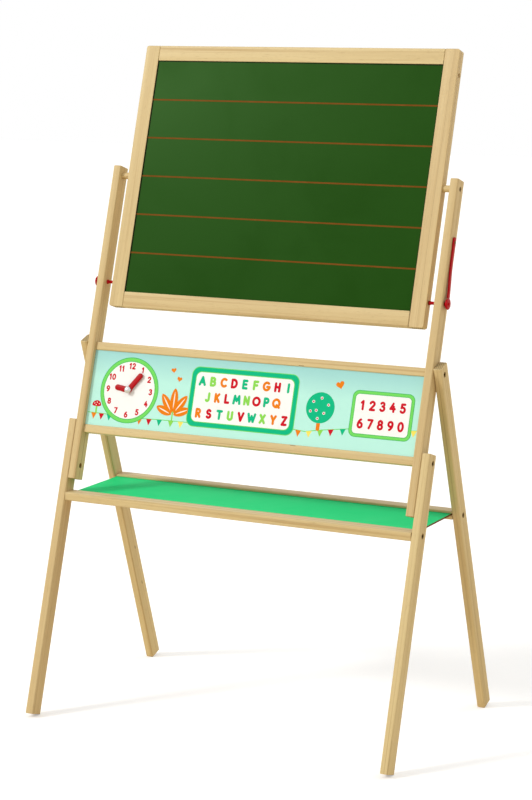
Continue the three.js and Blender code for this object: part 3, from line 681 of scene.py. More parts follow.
def nut_measures(name, basis, run, way):
    """Radius, length, centre and axis of a barrel nut."""
    low, high = extent(name, basis)
    return (high.x - low.x) / 2, (high - low)[run], basis @ ((low + high) / 2), basis.col[run] * way


def rail_cutters(place, sheet, basis, run, way):
    """A rail's groove, and the bores for its barrel nuts, open on the side that they show on."""
    low, high = extent(sheet, basis)
    room = Vector((GROOVE_PAST_END, FIT, FIT))
    cutters = [box(low - room, high + room, basis)]
    for word, _ in SIDES:
        radius, length, centre, axis = nut_measures(f"{word}_{place}_nut", basis, run, way)
        start = centre - axis * (length / 2 + FIT)
        cutters.append(cutting_rod(radius + FIT, start, start + axis * NUT_BORE))
    return cutters


def make_timber(name, body, basis, run, cutters, edge=None, trim=None):
    settings = bpy.context.scene.easel_timber
    piece = timber_mesh(name + "_wood", *extent(name, basis), basis, run,
                        edge or settings.edge, settings.end_chamfer)
    if trim:
        carve(piece, [trim], "INTERSECT")
    carve(piece, cutters)
    settle(piece, body, "birch_wood", name, "Birch", "Birch End")
    end_faces(piece, basis.col[run])
    add_grain(piece, basis, run)


class EASEL_OT_stand_timber(bpy.types.Operator):
    """Build the uprights, legs and rails of the stand"""
    bl_idname = "easel.stand_timber"
    bl_label = "Stand timber"

    def execute(self, context):
        for word, side in SIDES:
            make_timber(f"{word}_upright", "stand", FRONT, 2, upright_cutters(word, side))
            for place, basis in (("front", FRONT), ("rear", REAR)):
                leg = f"{word}_{place}_leg"
                bolts = [f"{leg}_bolt", f"{word}_shelf_{place}_bolt"]
                make_timber(leg, "stand", basis, 2, leg_cutters(leg, side, bolts))
        for rail, place, sheet, basis, run, way in RAILS:
            make_timber(rail, "stand", basis, 0, rail_cutters(place, sheet, basis, run, way))
        return {"FINISHED"}


def board_trim():
    """A plate with the board's outline and its rounded corners."""
    low, high = extent("left_board_stile", FRONT)[0], extent("right_board_stile", FRONT)[1]
    size, centre = high - low, (high + low) / 2
    outline = rounded_section(size.x, size.z, BOARD_CORNER, 8)
    return loft("cutter", [[FRONT @ Vector((centre.x + a, centre.y + depth, centre.z + b))
                            for a, b in outline] for depth in (-size.y, size.y)])


def sheet_grooves():
    """Room for both sheets, with a dark gap in front of each."""
    cutters = []
    room = Vector((FIT, FIT, FIT))
    for sheet, ahead, behind in (("chalk_sheet", 1, 0), ("white_sheet", 0, 1)):
        low, high = extent(sheet, FRONT)
        cutters.append(box(low - room - Vector((0, ahead * SHEET_SHADOW_GAP, 0)),
                           high + room + Vector((0, behind * SHEET_SHADOW_GAP, 0)), FRONT))
    return cutters


def stile_cutters(word, side):
    """Bore for the pivot dowel and, at both ends, a hole that the lock pin can enter."""
    dowel = f"{word}_pivot_dowel"
    outer = end_x(f"{word}_board_stile", side)
    past, floor = outer + side * OVERRUN, outer - side * PIN_HOLE_DEPTH
    pin, pivot = middle(f"{word}_lock_pin"), middle(dowel)
    holes = ((PIN_HOLE_RADIUS, floor, pin.y, pin.z),
             (PIN_HOLE_RADIUS, floor, 2 * pivot.y - pin.y, 2 * pivot.z - pin.z),
             (radius_of(dowel) + FIT, end_x(dowel, -side) - side * FIT, pivot.y, pivot.z))
    return [cutting_rod(radius, (x, y, z), (past, y, z)) for radius, x, y, z in holes]


class EASEL_OT_board_timber(bpy.types.Operator):
    """Build the stiles and rails of the turning board"""
    bl_idname = "easel.board_timber"
    bl_label = "Board timber"

    def execute(self, context):
        for word, side in SIDES:
            make_timber(f"{word}_board_stile", "board", FRONT, 2,
                        sheet_grooves() + stile_cutters(word, side), BOARD_EDGE, board_trim())
        for level in ("top", "bottom"):
            make_timber(f"board_{level}_rail", "board", FRONT, 0, sheet_grooves(), BOARD_EDGE)
        return {"FINISHED"}


# ---------- sheets, dowels and fasteners
def make_dowel(name, basis, chamfer, sides, *finishes):
    low, high = extent(name, basis)
    centre = (low + high) / 2
    profile = bar_profile((high.z - low.z) / 2, high.x - low.x, chamfer)
    piece = lathe(name + "_wood", profile, basis @ Vector((low.x, centre.y, centre.z)), ACROSS, sides)
    settle(piece, "board", "dowel_wood", name, *finishes)
    if len(finishes) > 1:
        end_faces(piece, ACROSS)
    add_grain(piece, LEVEL, 0)


class EASEL_OT_sheets(bpy.types.Operator):
    """Give the sheets, the printed panel, the shelf and the hidden dowels their finish"""
    bl_idname = "easel.sheets"
    bl_label = "Sheets and panels"

    def execute(self, context):
        for name, finish in (("chalk_sheet", "Chalk Green"), ("white_sheet", "Dry-Wipe White"),
                             ("print_panel", "Printed Ground"), ("shelf_panel", "Shelf Green")):
            frame["nodes"][name].data.materials.clear()
            frame["nodes"][name].data.materials.append(material(finish))
        for word, _ in SIDES:
            for level in ("top", "bottom"):
                make_dowel(f"{word}_{level}_corner_dowel", FRONT, 0.8 * MM, 24, "Dowel Wood")
        return {"FINISHED"}


class EASEL_OT_pivot_dowels(bpy.types.Operator):
    """Build the two dowels that the board turns on"""
    bl_idname = "easel.pivot_dowels"
    bl_label = "Pivot dowels"

    def execute(self, context):
        for word, _ in SIDES:
            make_dowel(f"{word}_pivot_dowel", LEVEL, 1 * MM, 48, "Dowel Wood", "Birch End")
        return {"FINISHED"}


class EASEL_OT_rail_bolts(bpy.types.Operator):
    """Build the socket-head bolts that hold the rails"""
    bl_idname = "easel.rail_bolts"
    bl_label = "Rail bolts"

    def execute(self, context):
        head_height, soft, lip, shank, point = 4 * MM, 0.7 * MM, 0.3 * MM, 3 * MM, 1 * MM
        hex_reach, hex_depth = 2.9 * MM, 2.4 * MM
        for word, side in SIDES:
            for place in ("front_leg", "rear_leg", "shelf_front", "shelf_rear"):
                name = f"{word}_{place}_bolt"
                outer, length, head = end_x(name, side), length_of(name), radius_of(name)
                profile = [(0, 0), (head - 1.6 * soft, 0), (head - 0.5 * soft, 0.35 * soft), (head, soft),
                           (head, head_height - lip), (head - lip, head_height), (shank, head_height),
                           (shank, length - point), (shank - 0.8 * point, length)]
                spot = middle(name)
                piece = lathe(name + "_metal", profile, (outer, spot.y, spot.z), ACROSS * -side)
                carve(piece, [cutting_rod(hex_reach, (outer + side * OVERRUN, spot.y, spot.z),
                                          (outer - side * hex_depth, spot.y, spot.z), 6)])
                settle_metal(piece, name)
        return {"FINISHED"}


class EASEL_OT_barrel_nuts(bpy.types.Operator):
    """Build the barrel nuts in the rails, with a slot in the end that shows"""
    bl_idname = "easel.barrel_nuts"
    bl_label = "Barrel nuts"

    def execute(self, context):
        slot_half, slot_depth = 0.7 * MM, 1.2 * MM
        for word, _ in SIDES:
            for _, place, _, basis, run, way in RAILS:
                name = f"{word}_{place}_nut"
                radius, length, centre, axis = nut_measures(name, basis, run, way)
                piece = lathe(name + "_metal", bar_profile(radius, length, 0.6 * MM),
                              centre - axis * length / 2, axis, 32)
                reach = ACROSS * 2 * radius
                half = Vector((2 * radius, slot_half, slot_half))
                half[run] = slot_depth
                mouth = basis.transposed() @ (centre + axis * length / 2)
                carve(piece, [cutting_rod(SHANK, centre - reach, centre + reach, 24),
                              box(mouth - half, mouth + half, basis)])
                settle_metal(piece, name)
        return {"FINISHED"}


def make_screw(name, way, head_height, crown):
    """A wood screw that points along X, with a cross recess and a pointed, grooved shank."""
    head = Vector((end_x(name, -way), middle(name).y, middle(name).z))
    radius, length = radius_of(name), length_of(name)
    shank, rise = 0.46 * radius, crown * head_height
    profile = [(0, 0), (0.55 * radius, 0.15 * rise), (0.9 * radius, 0.6 * rise), (radius, rise),
               (radius, rise + 0.15 * head_height), (shank, head_height)]
    start, stop, turns = head_height + 0.1 * length, 0.86 * length, 7
    pitch = (stop - start) / turns
    for turn in range(turns):
        root = start + pitch * turn
        profile += [(shank, root), (1.25 * shank, root + 0.45 * pitch), (shank, root + 0.9 * pitch)]
    profile += [(shank, stop), (0.1 * shank, length)]
    piece = lathe(name + "_metal", profile, head, ACROSS * way, 32)
    arm, thin, deep = 0.6 * radius, 0.15 * radius, 0.5 * head_height
    spot = FRONT.transposed() @ head
    carve(piece, [box(spot - half, spot + half, FRONT)
                  for half in (Vector((deep, arm, thin)), Vector((deep, thin, arm)))])
    settle_metal(piece, name)


class EASEL_OT_screws(bpy.types.Operator):
    """Build the overlap, pivot and strap screws"""
    bl_idname = "easel.screws"
    bl_label = "Screws"

    def execute(self, context):
        flat, domed = 0.12, 0.35
        for word, side in SIDES:
            make_screw(f"{word}_overlap_screw", side, 3.4 * MM, flat)
            make_screw(f"{word}_pivot_screw", -side, 2.8 * MM, flat)
            make_screw(f"{word}_strap_screw", -side, 1.6 * MM, domed)
        return {"FINISHED"}


class EASEL_OT_staples(bpy.types.Operator):
    """Build the three wire staples with their bent corners"""
    bl_idname = "easel.staples"
    bl_label = "Staples"

    def execute(self, context):
        bend = 1.1 * MM
        for place, basis in (("top_rail", FRONT), ("bottom_rail", FRONT), ("shelf", LEVEL)):
            name = f"{place}_staple"
            low, high = extent(name, basis)
            wire, z = (high.z - low.z) / 2, (low.z + high.z) / 2
            left, right, front = low.x + wire, high.x - wire, low.y + wire
            path = [(left, high.y), (left, front + bend)]
            path += arc(left + bend, front + bend, bend, bend, 180, 270, 4)[1:]
            path += [(left + right - x, y) for x, y in reversed(path)]
            rings = []
            for i, (x, y) in enumerate(path):
                before, after = path[max(i - 1, 0)], path[min(i + 1, len(path) - 1)]
                heading = Vector((after[0] - before[0], after[1] - before[1], 0)).normalized()
                outwards = Vector((heading.y, -heading.x, 0))
                rings.append([basis @ (Vector((x, y, z)) + outwards * a + Vector((0, 0, b)))
                              for a, b in disc(wire, 0, 0, 12)])
            settle(loft(name + "_wire", rings), "stand", "staple_steel", name, "Staple Wire")
        return {"FINISHED"}


# ---------- lock pins and straps
class EASEL_OT_lock_pins(bpy.types.Operator):
    """Build the two lock pins"""
    bl_idname = "easel.lock_pins"
    bl_label = "Lock pins"

    def execute(self, context):
        ring, neck, nub = 3.8, 2.8, 2.6
        nub_height, head_height, shoulder = 1.6, 3.5, 12
        for word, side in SIDES:
            name = f"{word}_lock_pin"
            head, top = radius_of(name) / MM, length_of(name) / MM - nub_height
            under = top - head_height
            profile = [(0, 0), (1.6, 0.05), (2.8, 0.4), (3.5, 1.1), (ring, 1.9), (ring, 2.5), (3.4, 3.3),
                       (neck, 4.1), (neck, shoulder), (3.4, shoulder + 0.4), (ring, shoulder + 0.9),
                       (ring, under), (head - 1, under), (head - 0.3, under + 0.3), (head, under + 1),
                       (head, top - 1), (head - 0.3, top - 0.35), (head - 1, top), (nub + 1.2, top - 0.25),
                       (nub, top), (nub - 0.1, top + 0.9), (nub - 0.7, top + nub_height),
                       (0, top + nub_height)]
            spot = middle(name)
            piece = lathe(name + "_plastic", [(radius * MM, distance * MM) for radius, distance in profile],
                          (end_x(name, -side), spot.y, spot.z), ACROSS * side)
            settle(piece, f"{word}_pin", "red_plastic", name, "Red Plastic", smooth=40)
        return {"FINISHED"}


def eased(share):
    """Runs from 0 to 1 with a soft start and end."""
    share = min(max(share, 0), 1)
    return share * share * (3 - 2 * share)


class EASEL_OT_pin_straps(bpy.types.Operator):
    """Build the soft straps that hold the pins to the stand"""
    bl_idname = "easel.pin_straps"
    bl_label = "Pin straps"

    def execute(self, context):
        thick, arm_half, eye_half, soft, cap = 3.0 * MM, 4.0 * MM, 5.0 * MM, 0.8 * MM, 1.2 * MM
        steps, bend_from = 48, 0.38
        for word, side in SIDES:
            name = f"{word}_pin_strap"
            low, high = extent(name, FRONT)
            centre, length = (low + high) / 2, high.z - low.z
            screw_z = middle(f"{word}_strap_screw", FRONT).z
            eye = high.z - screw_z
            face = low.x if side > 0 else high.x
            foot = (high.x - low.x) - thick
            rings = []
            for step in range(steps + 1):
                down = length * step / steps
                if down < cap:
                    round_in = 1 - max(down, 0.02 * MM) / cap
                    half = eye_half * math.sqrt(1 - round_in ** 2) * 0.6 + 0.4 * eye_half
                else:
                    half = eye_half + (arm_half - eye_half) * eased((down - 1.6 * eye) / (0.8 * eye))
                bent = eased((down / length - bend_from) / (1 - bend_from))
                x = face + side * (foot * bent + thick / 2)
                rings.append([FRONT @ Vector((x + a, centre.y + b, high.z - down))
                              for a, b in rounded_section(thick, 2 * half, soft, 3)])
            piece = loft(name + "_plastic", rings)
            surface(piece, ["Red Plastic"], 40)
            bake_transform(piece)
            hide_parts(name)
        return {"FINISHED"}


# ---------- clock
CLOCK_BORE = 2.8 * MM


def on_clock_axis(y):
    return FRONT @ Vector((CLOCK_CENTRE.x, y, CLOCK_CENTRE.z))


class EASEL_OT_clock_hands(bpy.types.Operator):
    """Build the two clock hands, rounded on top"""
    bl_idname = "easel.clock_hands"
    bl_label = "Clock hands"

    def execute(self, context):
        for name in ("hour_hand", "minute_hand"):
            low, high = extent(name, FRONT)
            from_centre = [p - CLOCK_CENTRE for p in points_of(name, FRONT)]
            offset = middle(name, FRONT) - CLOCK_CENTRE
            heading = Vector((offset.x, 0, offset.z)).normalized()
            across = Vector((heading.z, 0, -heading.x))
            reach = max(p.dot(heading) for p in from_centre)
            half = max(abs(p.dot(across)) for p in from_centre)
            thick = high.y - low.y
            outline = arc(0, 0, half, half, -90, -270) + arc(reach - half, 0, half, half, 90, -90)
            crown = ((0.7 * MM, 0), (0.15 * MM, 0.2 * MM), (0, 0.6 * MM), (0.15 * MM, 0.5 * thick),
                     (0.8 * MM, 0.8 * thick), (1.8 * MM, 0.94 * thick), (3.4 * MM, thick))
            rings = []
            for inset, depth in crown:
                narrowed = (half - inset) / half
                ring = []
                for a, b in outline:
                    near = min(max(a, 0), reach - half)
                    point = CLOCK_CENTRE + heading * (near + (a - near) * narrowed) + across * b * narrowed
                    ring.append(FRONT @ Vector((point.x, high.y - depth, point.z)))
                rings.append(ring)
            piece = loft(name + "_plastic", rings)
            back = on_clock_axis(high.y + OVERRUN)
            carve(piece, [cutting_rod(CLOCK_BORE, back, back + FRONT_NORMAL * 3 * thick)])
            settle(piece, name, "red_plastic", name, "Red Plastic", smooth=35)
        return {"FINISHED"}


class EASEL_OT_clock_axle(bpy.types.Operator):
    """Build the clock's domed axle and the retainer behind the panel"""
    bl_idname = "easel.clock_axle"
    bl_label = "Clock axle"

    def execute(self, context):
        low, high = extent("clock_axle", FRONT)
        dome, shaft, height, rim, edge = (high.x - low.x) / 2, 2.5 * MM, 4.6 * MM, 0.8 * MM, 0.3 * MM
        foot = high.y - low.y - height
        profile = [(shaft - 0.5 * MM, 0), (shaft, 0.5 * MM), (shaft, foot), (dome - edge, foot),
                   (dome, foot + edge)] + arc(0, foot + rim, dome, height - rim, 0, 90, 10)[1:]
        axle = lathe("clock_axle_metal", profile, on_clock_axis(high.y), FRONT_NORMAL)
        settle_metal(axle, "clock_axle", "Bright Steel", 40)
        low, high = extent("clock_retainer", FRONT)
        outer, thick, edge = (high.x - low.x) / 2, high.y - low.y, 0.4 * MM
        profile = [(CLOCK_BORE, 0), (outer - edge, 0), (outer, edge), (outer, 0.7 * thick),
                   (0.7 * outer, thick), (CLOCK_BORE, thick)]
        start = on_clock_axis(low.y)
        ring = lathe("clock_retainer_metal", profile, start, -FRONT_NORMAL)
        carve(ring, [cutting_rod(CLOCK_BORE, start + FRONT_NORMAL * OVERRUN,
                                 start - FRONT_NORMAL * (thick + OVERRUN))])
        settle_metal(ring, "clock_retainer", smooth=40)
        return {"FINISHED"}


# ---------- print on the panel
INK_LAYER = 0.05 * MM
STROKE_STEP = 0.15
LETTER_GAP = 0.16


def oval(cx, cy, rx, ry):
    return arc(cx, cy, rx, ry, 90, 450, 28)


# Strokes of each character, one unit high
GLYPHS = {
    "A": [[(0, 0), (.38, 1), (.76, 0)], [(.14, .32), (.62, .32)]],
    "B": [[(.3, 1), (0, 1), (0, 0), (.34, 0)], [(0, .53), (.32, .53)],
          arc(.3, .765, .22, .235, 90, -90), arc(.34, .265, .25, .265, 90, -90)],
    "C": [arc(.42, .5, .42, .5, 52, 308)],
    "D": [[(.24, 1), (0, 1), (0, 0), (.24, 0)], arc(.24, .5, .42, .5, 90, -90, 20)],
    "E": [[(.5, 1), (0, 1), (0, 0), (.5, 0)], [(0, .52), (.42, .52)]],
    "F": [[(.5, 1), (0, 1), (0, 0)], [(0, .52), (.42, .52)]],
    "G": [arc(.44, .5, .44, .5, 52, 350, 20), [(.87, .44), (.52, .44)]],
    "H": [[(0, 0), (0, 1)], [(.58, 0), (.58, 1)], [(0, .52), (.58, .52)]],
    "I": [[(0, 0), (0, 1)]],
    "J": [[(.4, 1), (.4, .24)], arc(.18, .24, .22, .24, 0, -140)],
    "K": [[(0, 0), (0, 1)], [(.5, 1), (.02, .46)], [(.16, .6), (.54, 0)]],
    "L": [[(0, 1), (0, 0), (.46, 0)]],
    "M": [[(0, 0), (.12, 1), (.44, .32), (.76, 1), (.88, 0)]],
    "N": [[(0, 0), (0, 1), (.6, 0), (.6, 1)]],
    "O": [oval(.46, .5, .46, .5)],
    "P": [[(.28, 1), (0, 1), (0, 0)], [(0, .46), (.28, .46)], arc(.28, .73, .24, .27, 90, -90)],
    "Q": [oval(.46, .5, .46, .5), [(.54, .26), (.9, -.04)]],
    "R": [[(.28, 1), (0, 1), (0, 0)], [(0, .48), (.28, .48)], arc(.28, .74, .23, .26, 90, -90),
          [(.24, .48), (.54, 0)]],
    "S": [arc(.27, .755, .24, .245, 38, 270), arc(.27, .255, .27, .255, 90, -145)],
    "T": [[(0, 1), (.62, 1)], [(.31, 1), (.31, 0)]],
    "U": [[(0, 1), (0, .28)], arc(.29, .28, .29, .28, 180, 360), [(.58, .28), (.58, 1)]],
    "V": [[(0, 1), (.34, 0), (.68, 1)]],
    "W": [[(0, 1), (.24, 0), (.49, .74), (.74, 0), (.98, 1)]],
    "X": [[(0, 0), (.6, 1)], [(0, 1), (.6, 0)]],
    "Y": [[(0, 1), (.31, .46), (.62, 1)], [(.31, .46), (.31, 0)]],
    "Z": [[(0, 1), (.56, 1), (0, 0), (.56, 0)]],
    "0": [oval(.29, .5, .29, .5)],
    "1": [[(0, .8), (.2, 1), (.2, 0)]],
    "2": [arc(.27, .735, .265, .265, 165, -38), [(.479, .572), (0, 0), (.56, 0)]],
    "3": [arc(.24, .77, .22, .23, 150, -90), arc(.24, .27, .27, .27, 90, -150)],
    "4": [[(.34, 1), (0, .34), (.58, .34)], [(.42, .62), (.42, 0)]],
    "5": [[(.48, 1), (.1, 1), (.06, .56)], arc(.23, .31, .28, .31, 128, -145)],
    "6": [oval(.28, .29, .27, .29), arc(.52, .29, .51, .71, 106, 180)],
    "7": [[(0, 1), (.54, 1), (.16, 0)]],
    "8": [oval(.27, .765, .22, .235), oval(.27, .265, .27, .265)],
    "9": [oval(.27, .71, .27, .29), arc(.03, .71, .51, .71, -74, 0)],
}


def stroke(points, half):
    """Outlines of a stroke with round ends. A sharp corner parts it in two that overlap."""
    sharp = math.radians(35)
    points = [Vector(p) for p in points]
    closed = (points[0] - points[-1]).length < 1e-6
    runs = [[points[0]]]
    for before, point, after in zip(points, points[1:], points[2:]):
        runs[-1].append(point)
        if (point - before).angle(after - point) > sharp:
            runs.append([point])
    runs[-1].append(points[-1])
    outlines = []
    for run in runs:
        left, right = [], []
        for i, point in enumerate(run):
            before, after = run[max(i - 1, 0)], run[min(i + 1, len(run) - 1)]
            if closed and i in (0, len(run) - 1):
                before, after = run[-2], run[1]
            heading = (after - before).normalized()
            aside = Vector((-heading.y, heading.x)) * half
            left.append(point + aside)
            right.append(point - aside)
        if closed:
            outlines.append([[left[i], right[i], right[i + 1], left[i + 1]] for i in range(len(run) - 1)])
            continue
        caps = []
        for end, inner in ((run[-1], run[-2]), (run[0], run[1])):
            out = math.atan2(end.y - inner.y, end.x - inner.x)
            caps.append([end + Vector((math.cos(out + a), math.sin(out + a))) * half
                         for a in (math.pi * (0.5 - i / 8) for i in range(1, 8))])
        outlines.append([left + caps[0] + right[::-1] + caps[1]])
    return outlines


def glyph_strokes(text, height, x, y, weight):
    """Strokes of characters of one height, centred on x and y. Weight is a share of the height."""
    strokes, start = [], 0.0
    for character in text:
        lines = GLYPHS[character]
        strokes += [[(px + start, py) for px, py in line] for line in lines]
        start += max(px for line in lines for px, py in line) + LETTER_GAP + weight
    span = start - LETTER_GAP - weight
    scale = height / (1 + weight)
    moved = [[((px - span / 2) * scale + x, (py - 0.5) * scale + y) for px, py in line] for line in strokes]
    return [outlines for line in moved for outlines in stroke(line, weight / 2 * scale)]


class PrintedPiece:
    """Collects flat shapes in several inks on the front of a sheet and makes one piece of them."""

    def __init__(self, name, sheet="print_panel"):
        self.name = name
        self.bm = bmesh.new()
        self.inks = []
        low, high = extent(sheet, FRONT)
        self.face, self.mid_height = low.y, (low.z + high.z) / 2
        self.turn = Matrix((ACROSS, FRONT.col[2], FRONT_NORMAL)).transposed().to_4x4()

    def shape(self, outlines, ink, layer):
        """Adds flat outlines, in millimetres, on a layer of the print."""
        if ink not in self.inks:
            self.inks.append(ink)
        self.turn.translation = FRONT @ Vector((0, self.face - layer * INK_LAYER, self.mid_height))
        for points in outlines:
            corners = [self.bm.verts.new(self.turn @ Vector((p[0] * MM, p[1] * MM, 0))) for p in points]
            self.bm.faces.new(corners).material_index = self.inks.index(ink)

    def letter(self, text, height, x, y, ink, layer, weight):
        for i, outlines in enumerate(glyph_strokes(text, height, x, y, weight)):
            self.shape(outlines, ink, layer + STROKE_STEP * i)

    def framed_board(self, box_mm, radius, rim, line, line_ink, rim_ink):
        """A rounded board: a rim between two thin lines, and white inside."""
        left, right, bottom, top = box_mm
        for inset, corner, ink, layer in (
                (0, radius, line_ink, 2), (line, radius - line, rim_ink, 3),
                (rim - line, radius - 4, line_ink, 4), (rim, radius - 5, "Ink White", 5)):
            outline = plate(left + inset, right - inset, bottom + inset, top - inset, corner)
            self.shape([outline], ink, layer)

    def finish(self, body="stand", slot="printed_panel"):
        for face in self.bm.faces:
            face.normal_update()
            if face.normal.dot(FRONT_NORMAL) < 0:
                face.normal_flip()
        piece = object_from_bmesh(self.name, self.bm)
        for ink in self.inks:
            piece.data.materials.append(material(ink))
        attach(piece, body)
        return {"FINISHED"}


def plate(left, right, bottom, top, radius):
    """Outline of a rounded plate."""
    return [((left + right) / 2 + a, (bottom + top) / 2 + b)
            for a, b in rounded_section(right - left, top - bottom, radius, 10)]


class EASEL_OT_clock_face(bpy.types.Operator):
    """Print the clock face with its ring and numerals"""
    bl_idname = "easel.clock_face"
    bl_label = "Clock face"

    def execute(self, context):
        centre_x = CLOCK_CENTRE.x / MM
        outer, inner, line, numeral_circle, numeral_height = 59.8, 51.9, 1.1, 44.0, 11.6
        art = PrintedPiece("clock_face_print")
        for radius, ink, layer in ((outer, "Ink Deep", 2), (outer - line, "Ink Lime", 3),
                                   (inner + line, "Ink Deep", 4), (inner, "Ink White", 5)):
            art.shape([disc(radius, centre_x, 0)], ink, layer)
        for hour in range(1, 13):
            angle = math.radians(90 - 30 * hour)
            art.letter(str(hour), numeral_height, centre_x + numeral_circle * math.cos(angle),
                       numeral_circle * math.sin(angle), "Ink Red", 6, 0.3)
        return art.finish()


class EASEL_OT_letter_board(bpy.types.Operator):
    """Print the alphabet on its rounded board"""
    bl_idname = "easel.letter_board"
    bl_label = "Letter board"

    def execute(self, context):
        art = PrintedPiece("letter_board_print")
        art.framed_board((-120.0, 92.5, -53.7, 53.9), 15.0, 9.8, 1.2, "Ink Lime", "Ink Teal")
        inks = {"t": "Ink Teal", "l": "Ink Leaf", "o": "Ink Orange", "r": "Ink Red"}
        for letters, first, last, height, colours in (
                ("ABCDEFGHI", -97.3, 72.6, 28.6, "tlortlort"),
                ("JKLMNOPQ", -83.0, 53.1, 0.6, "lortlrto"),
                ("RSTUVWXYZ", -97.4, 72.6, -28.8, "ortlrtlor")):
            for i, letter in enumerate(letters):
                x = first + (last - first) * i / (len(letters) - 1)
                art.letter(letter, 17.7, x, height, inks[colours[i]], 6, 0.35)
        return art.finish()


class EASEL_OT_number_board(bpy.types.Operator):
    """Print the digits on their rounded board"""
    bl_idname = "easel.number_board"
    bl_label = "Number board"

    def execute(self, context):
        art = PrintedPiece("number_board_print")
        art.framed_board((196.1, 312.0, -44.2, 36.6), 12.0, 6.4, 1, "Ink Deep", "Ink Lime")
        for digits, height in (("12345", 11.2), ("67890", -20.3)):
            for i, digit in enumerate(digits):
                art.letter(digit, 18.0, 216.0 + 18.9 * i, height, "Ink Red", 6, 0.3)
        return art.finish()


STRING = ((-323, -45.5), (-278, -46.5), (-214, -48.5), (-173, -47.5), (-120, -47.5), (92, -41.3),
          (115, -43.3), (139, -39), (174, -34.3), (196, -31.7), (313, -25), (323, -24.4))
FLAGS = {"Orange": (-310, -214.3, 101.9), "Red": (-294, -194.7, 163.5), "Teal": (-277.5, -173.5, 185.8),
         "Leaf": (-150, 143.5), "Yellow": (-130, 122.6, 316.5)}


def string_height(x):
    """Height of the string over the panel's middle line, in millimetres."""
    for (x0, z0), (x1, z1) in zip(STRING, STRING[1:]):
        if x <= x1:
            break
    return z0 + (z1 - z0) * (x - x0) / (x1 - x0)


class EASEL_OT_bunting(bpy.types.Operator):
    """Print the string of small flags along the foot of the panel"""
    bl_idname = "easel.bunting"
    bl_label = "Bunting"

    def execute(self, context):
        art = PrintedPiece("bunting_print")
        half_width, drop, half_string = 5.6, 11.6, 0.7
        upper, lower = ([(x, z + lift) for x, z in STRING] for lift in (half_string, -half_string))
        art.shape([upper + lower[::-1]], "Ink Lime", 1)
        for colour, places in FLAGS.items():
            for x in places:
                flag = [(end, string_height(end)) for end in (x - half_width, x + half_width)]
                art.shape([flag + [(x, string_height(x) - drop)]], "Ink " + colour, 1.5)
        return art.finish()


def leaning(points, x, z, lean):
    """Points turned by an angle and moved to x and z."""
    return [(x + a * math.cos(lean) - b * math.sin(lean), z + a * math.sin(lean) + b * math.cos(lean))
            for a, b in points]


def heart(x, z, width, lean):
    """A heart from a smooth formula."""
    size, points = width / 32, []
    for i in range(48):
        t = 2 * math.pi * i / 48
        b = 13 * math.cos(t) - 5 * math.cos(2 * t) - 2 * math.cos(3 * t) - math.cos(4 * t)
        points.append((16 * math.sin(t) ** 3 * size, b * size))
    return leaning(points, x, z, lean)


def leaf(x, z, length, width, lean):
    """A pointed oval."""
    points = [(width / 2 * s * abs(s) ** 0.4, length / 2 * c) for c, s in disc(1, 0, 0, 40)]
    return leaning(points, x, z, lean)


class EASEL_OT_print_motifs(bpy.types.Operator):
    """Print the hearts, the spray of leaves, the round tree and the mushroom"""
    bl_idname = "easel.print_motifs"
    bl_label = "Print motifs"

    def execute(self, context):
        art = PrintedPiece("motif_print")
        for x, z, width, lean in ((-158, 43, 10, 0.2), (-144, 28, 10, -0.15), (170, 42.4, 15.4, 0.35)):
            art.shape([heart(x, z, width, lean)], "Ink Orange", 2)
        art.shape([plate(-150.2, -147.8, -52, -30, 1.1)], "Ink Leaf", 1.8)
        for i, (x, z, lean, length) in enumerate(((-167, -30, 1.2, 34), (-131, -30, -1.2, 34),
                                                  (-162.5, -17, 0.62, 40), (-135.5, -17, -0.62, 40),
                                                  (-149, -10, 0.0, 42))):
            art.shape([leaf(x, z, length, 15, lean)], "Ink Orange", 2.2 + 0.5 * i)
            art.shape([leaf(x, z, 0.72 * length, 2.2, lean)], "Ink Cream", 2.4 + 0.5 * i)
        art.shape([plate(134.5, 141.5, -40, -14, 3)], "Ink Orange", 2)
        art.shape([disc(27, 138, 0)], "Ink Teal", 2.6)
        for x, z in ((124, 10), (139, 17), (153, 6), (131, -5), (146, -9), (135, -19), (120, -7)):
            art.shape([disc(2.6, x, z, 24)], "Ink White", 3)
            art.shape([disc(1.5, x, z, 20)], "Ink Red", 4)
        art.shape([plate(-308.0, -304.6, -46, -28, 1.2)], "Ink Leaf", 2)
        cap = arc(-306.5, -31.5, 9.2, 8.4, 0, 180, 24) + arc(-306.5, -31.5, 9.2, 2.6, 190, 350, 10)
        art.shape([cap], "Ink Red", 3)
        for x, z in ((-311, -28.5), (-306, -26.5), (-301.5, -29), (-307.5, -31.5)):
            art.shape([disc(1.0, x, z, 16)], "Ink Cream", 4)
        return art.finish()


class EASEL_OT_chalk_ruling(bpy.types.Operator):
    """Rule the lines on the chalk sheet"""
    bl_idname = "easel.chalk_ruling"
    bl_label = "Chalk ruling"

    def execute(self, context):
        low, high = extent("chalk_sheet", FRONT)
        spacing, half_line, margin = 71.2, 1.4, 6
        reach = (high.x - low.x) / 2 / MM - margin
        art = PrintedPiece("chalk_ruling_print", "chalk_sheet")
        for i in range(-2, 3):
            below, above = i * spacing - half_line, i * spacing + half_line
            strip = [(-reach, below), (reach, below), (reach, above), (-reach, above)]
            art.shape([strip], "Chalk Ruling", 1)
        return art.finish("board", "chalk_green")


# ---------- stage
def aimed(name, data, heading, place=(0, 0, 0), **values):
    """A lamp or camera that looks along a heading."""
    for key, value in values.items():
        setattr(data, key, value)
    made = add_object(name, data)
    made.location = place
    made.rotation_mode = "QUATERNION"
    made.rotation_quaternion = Vector(heading).to_track_quat("-Z", "Y")
    return made


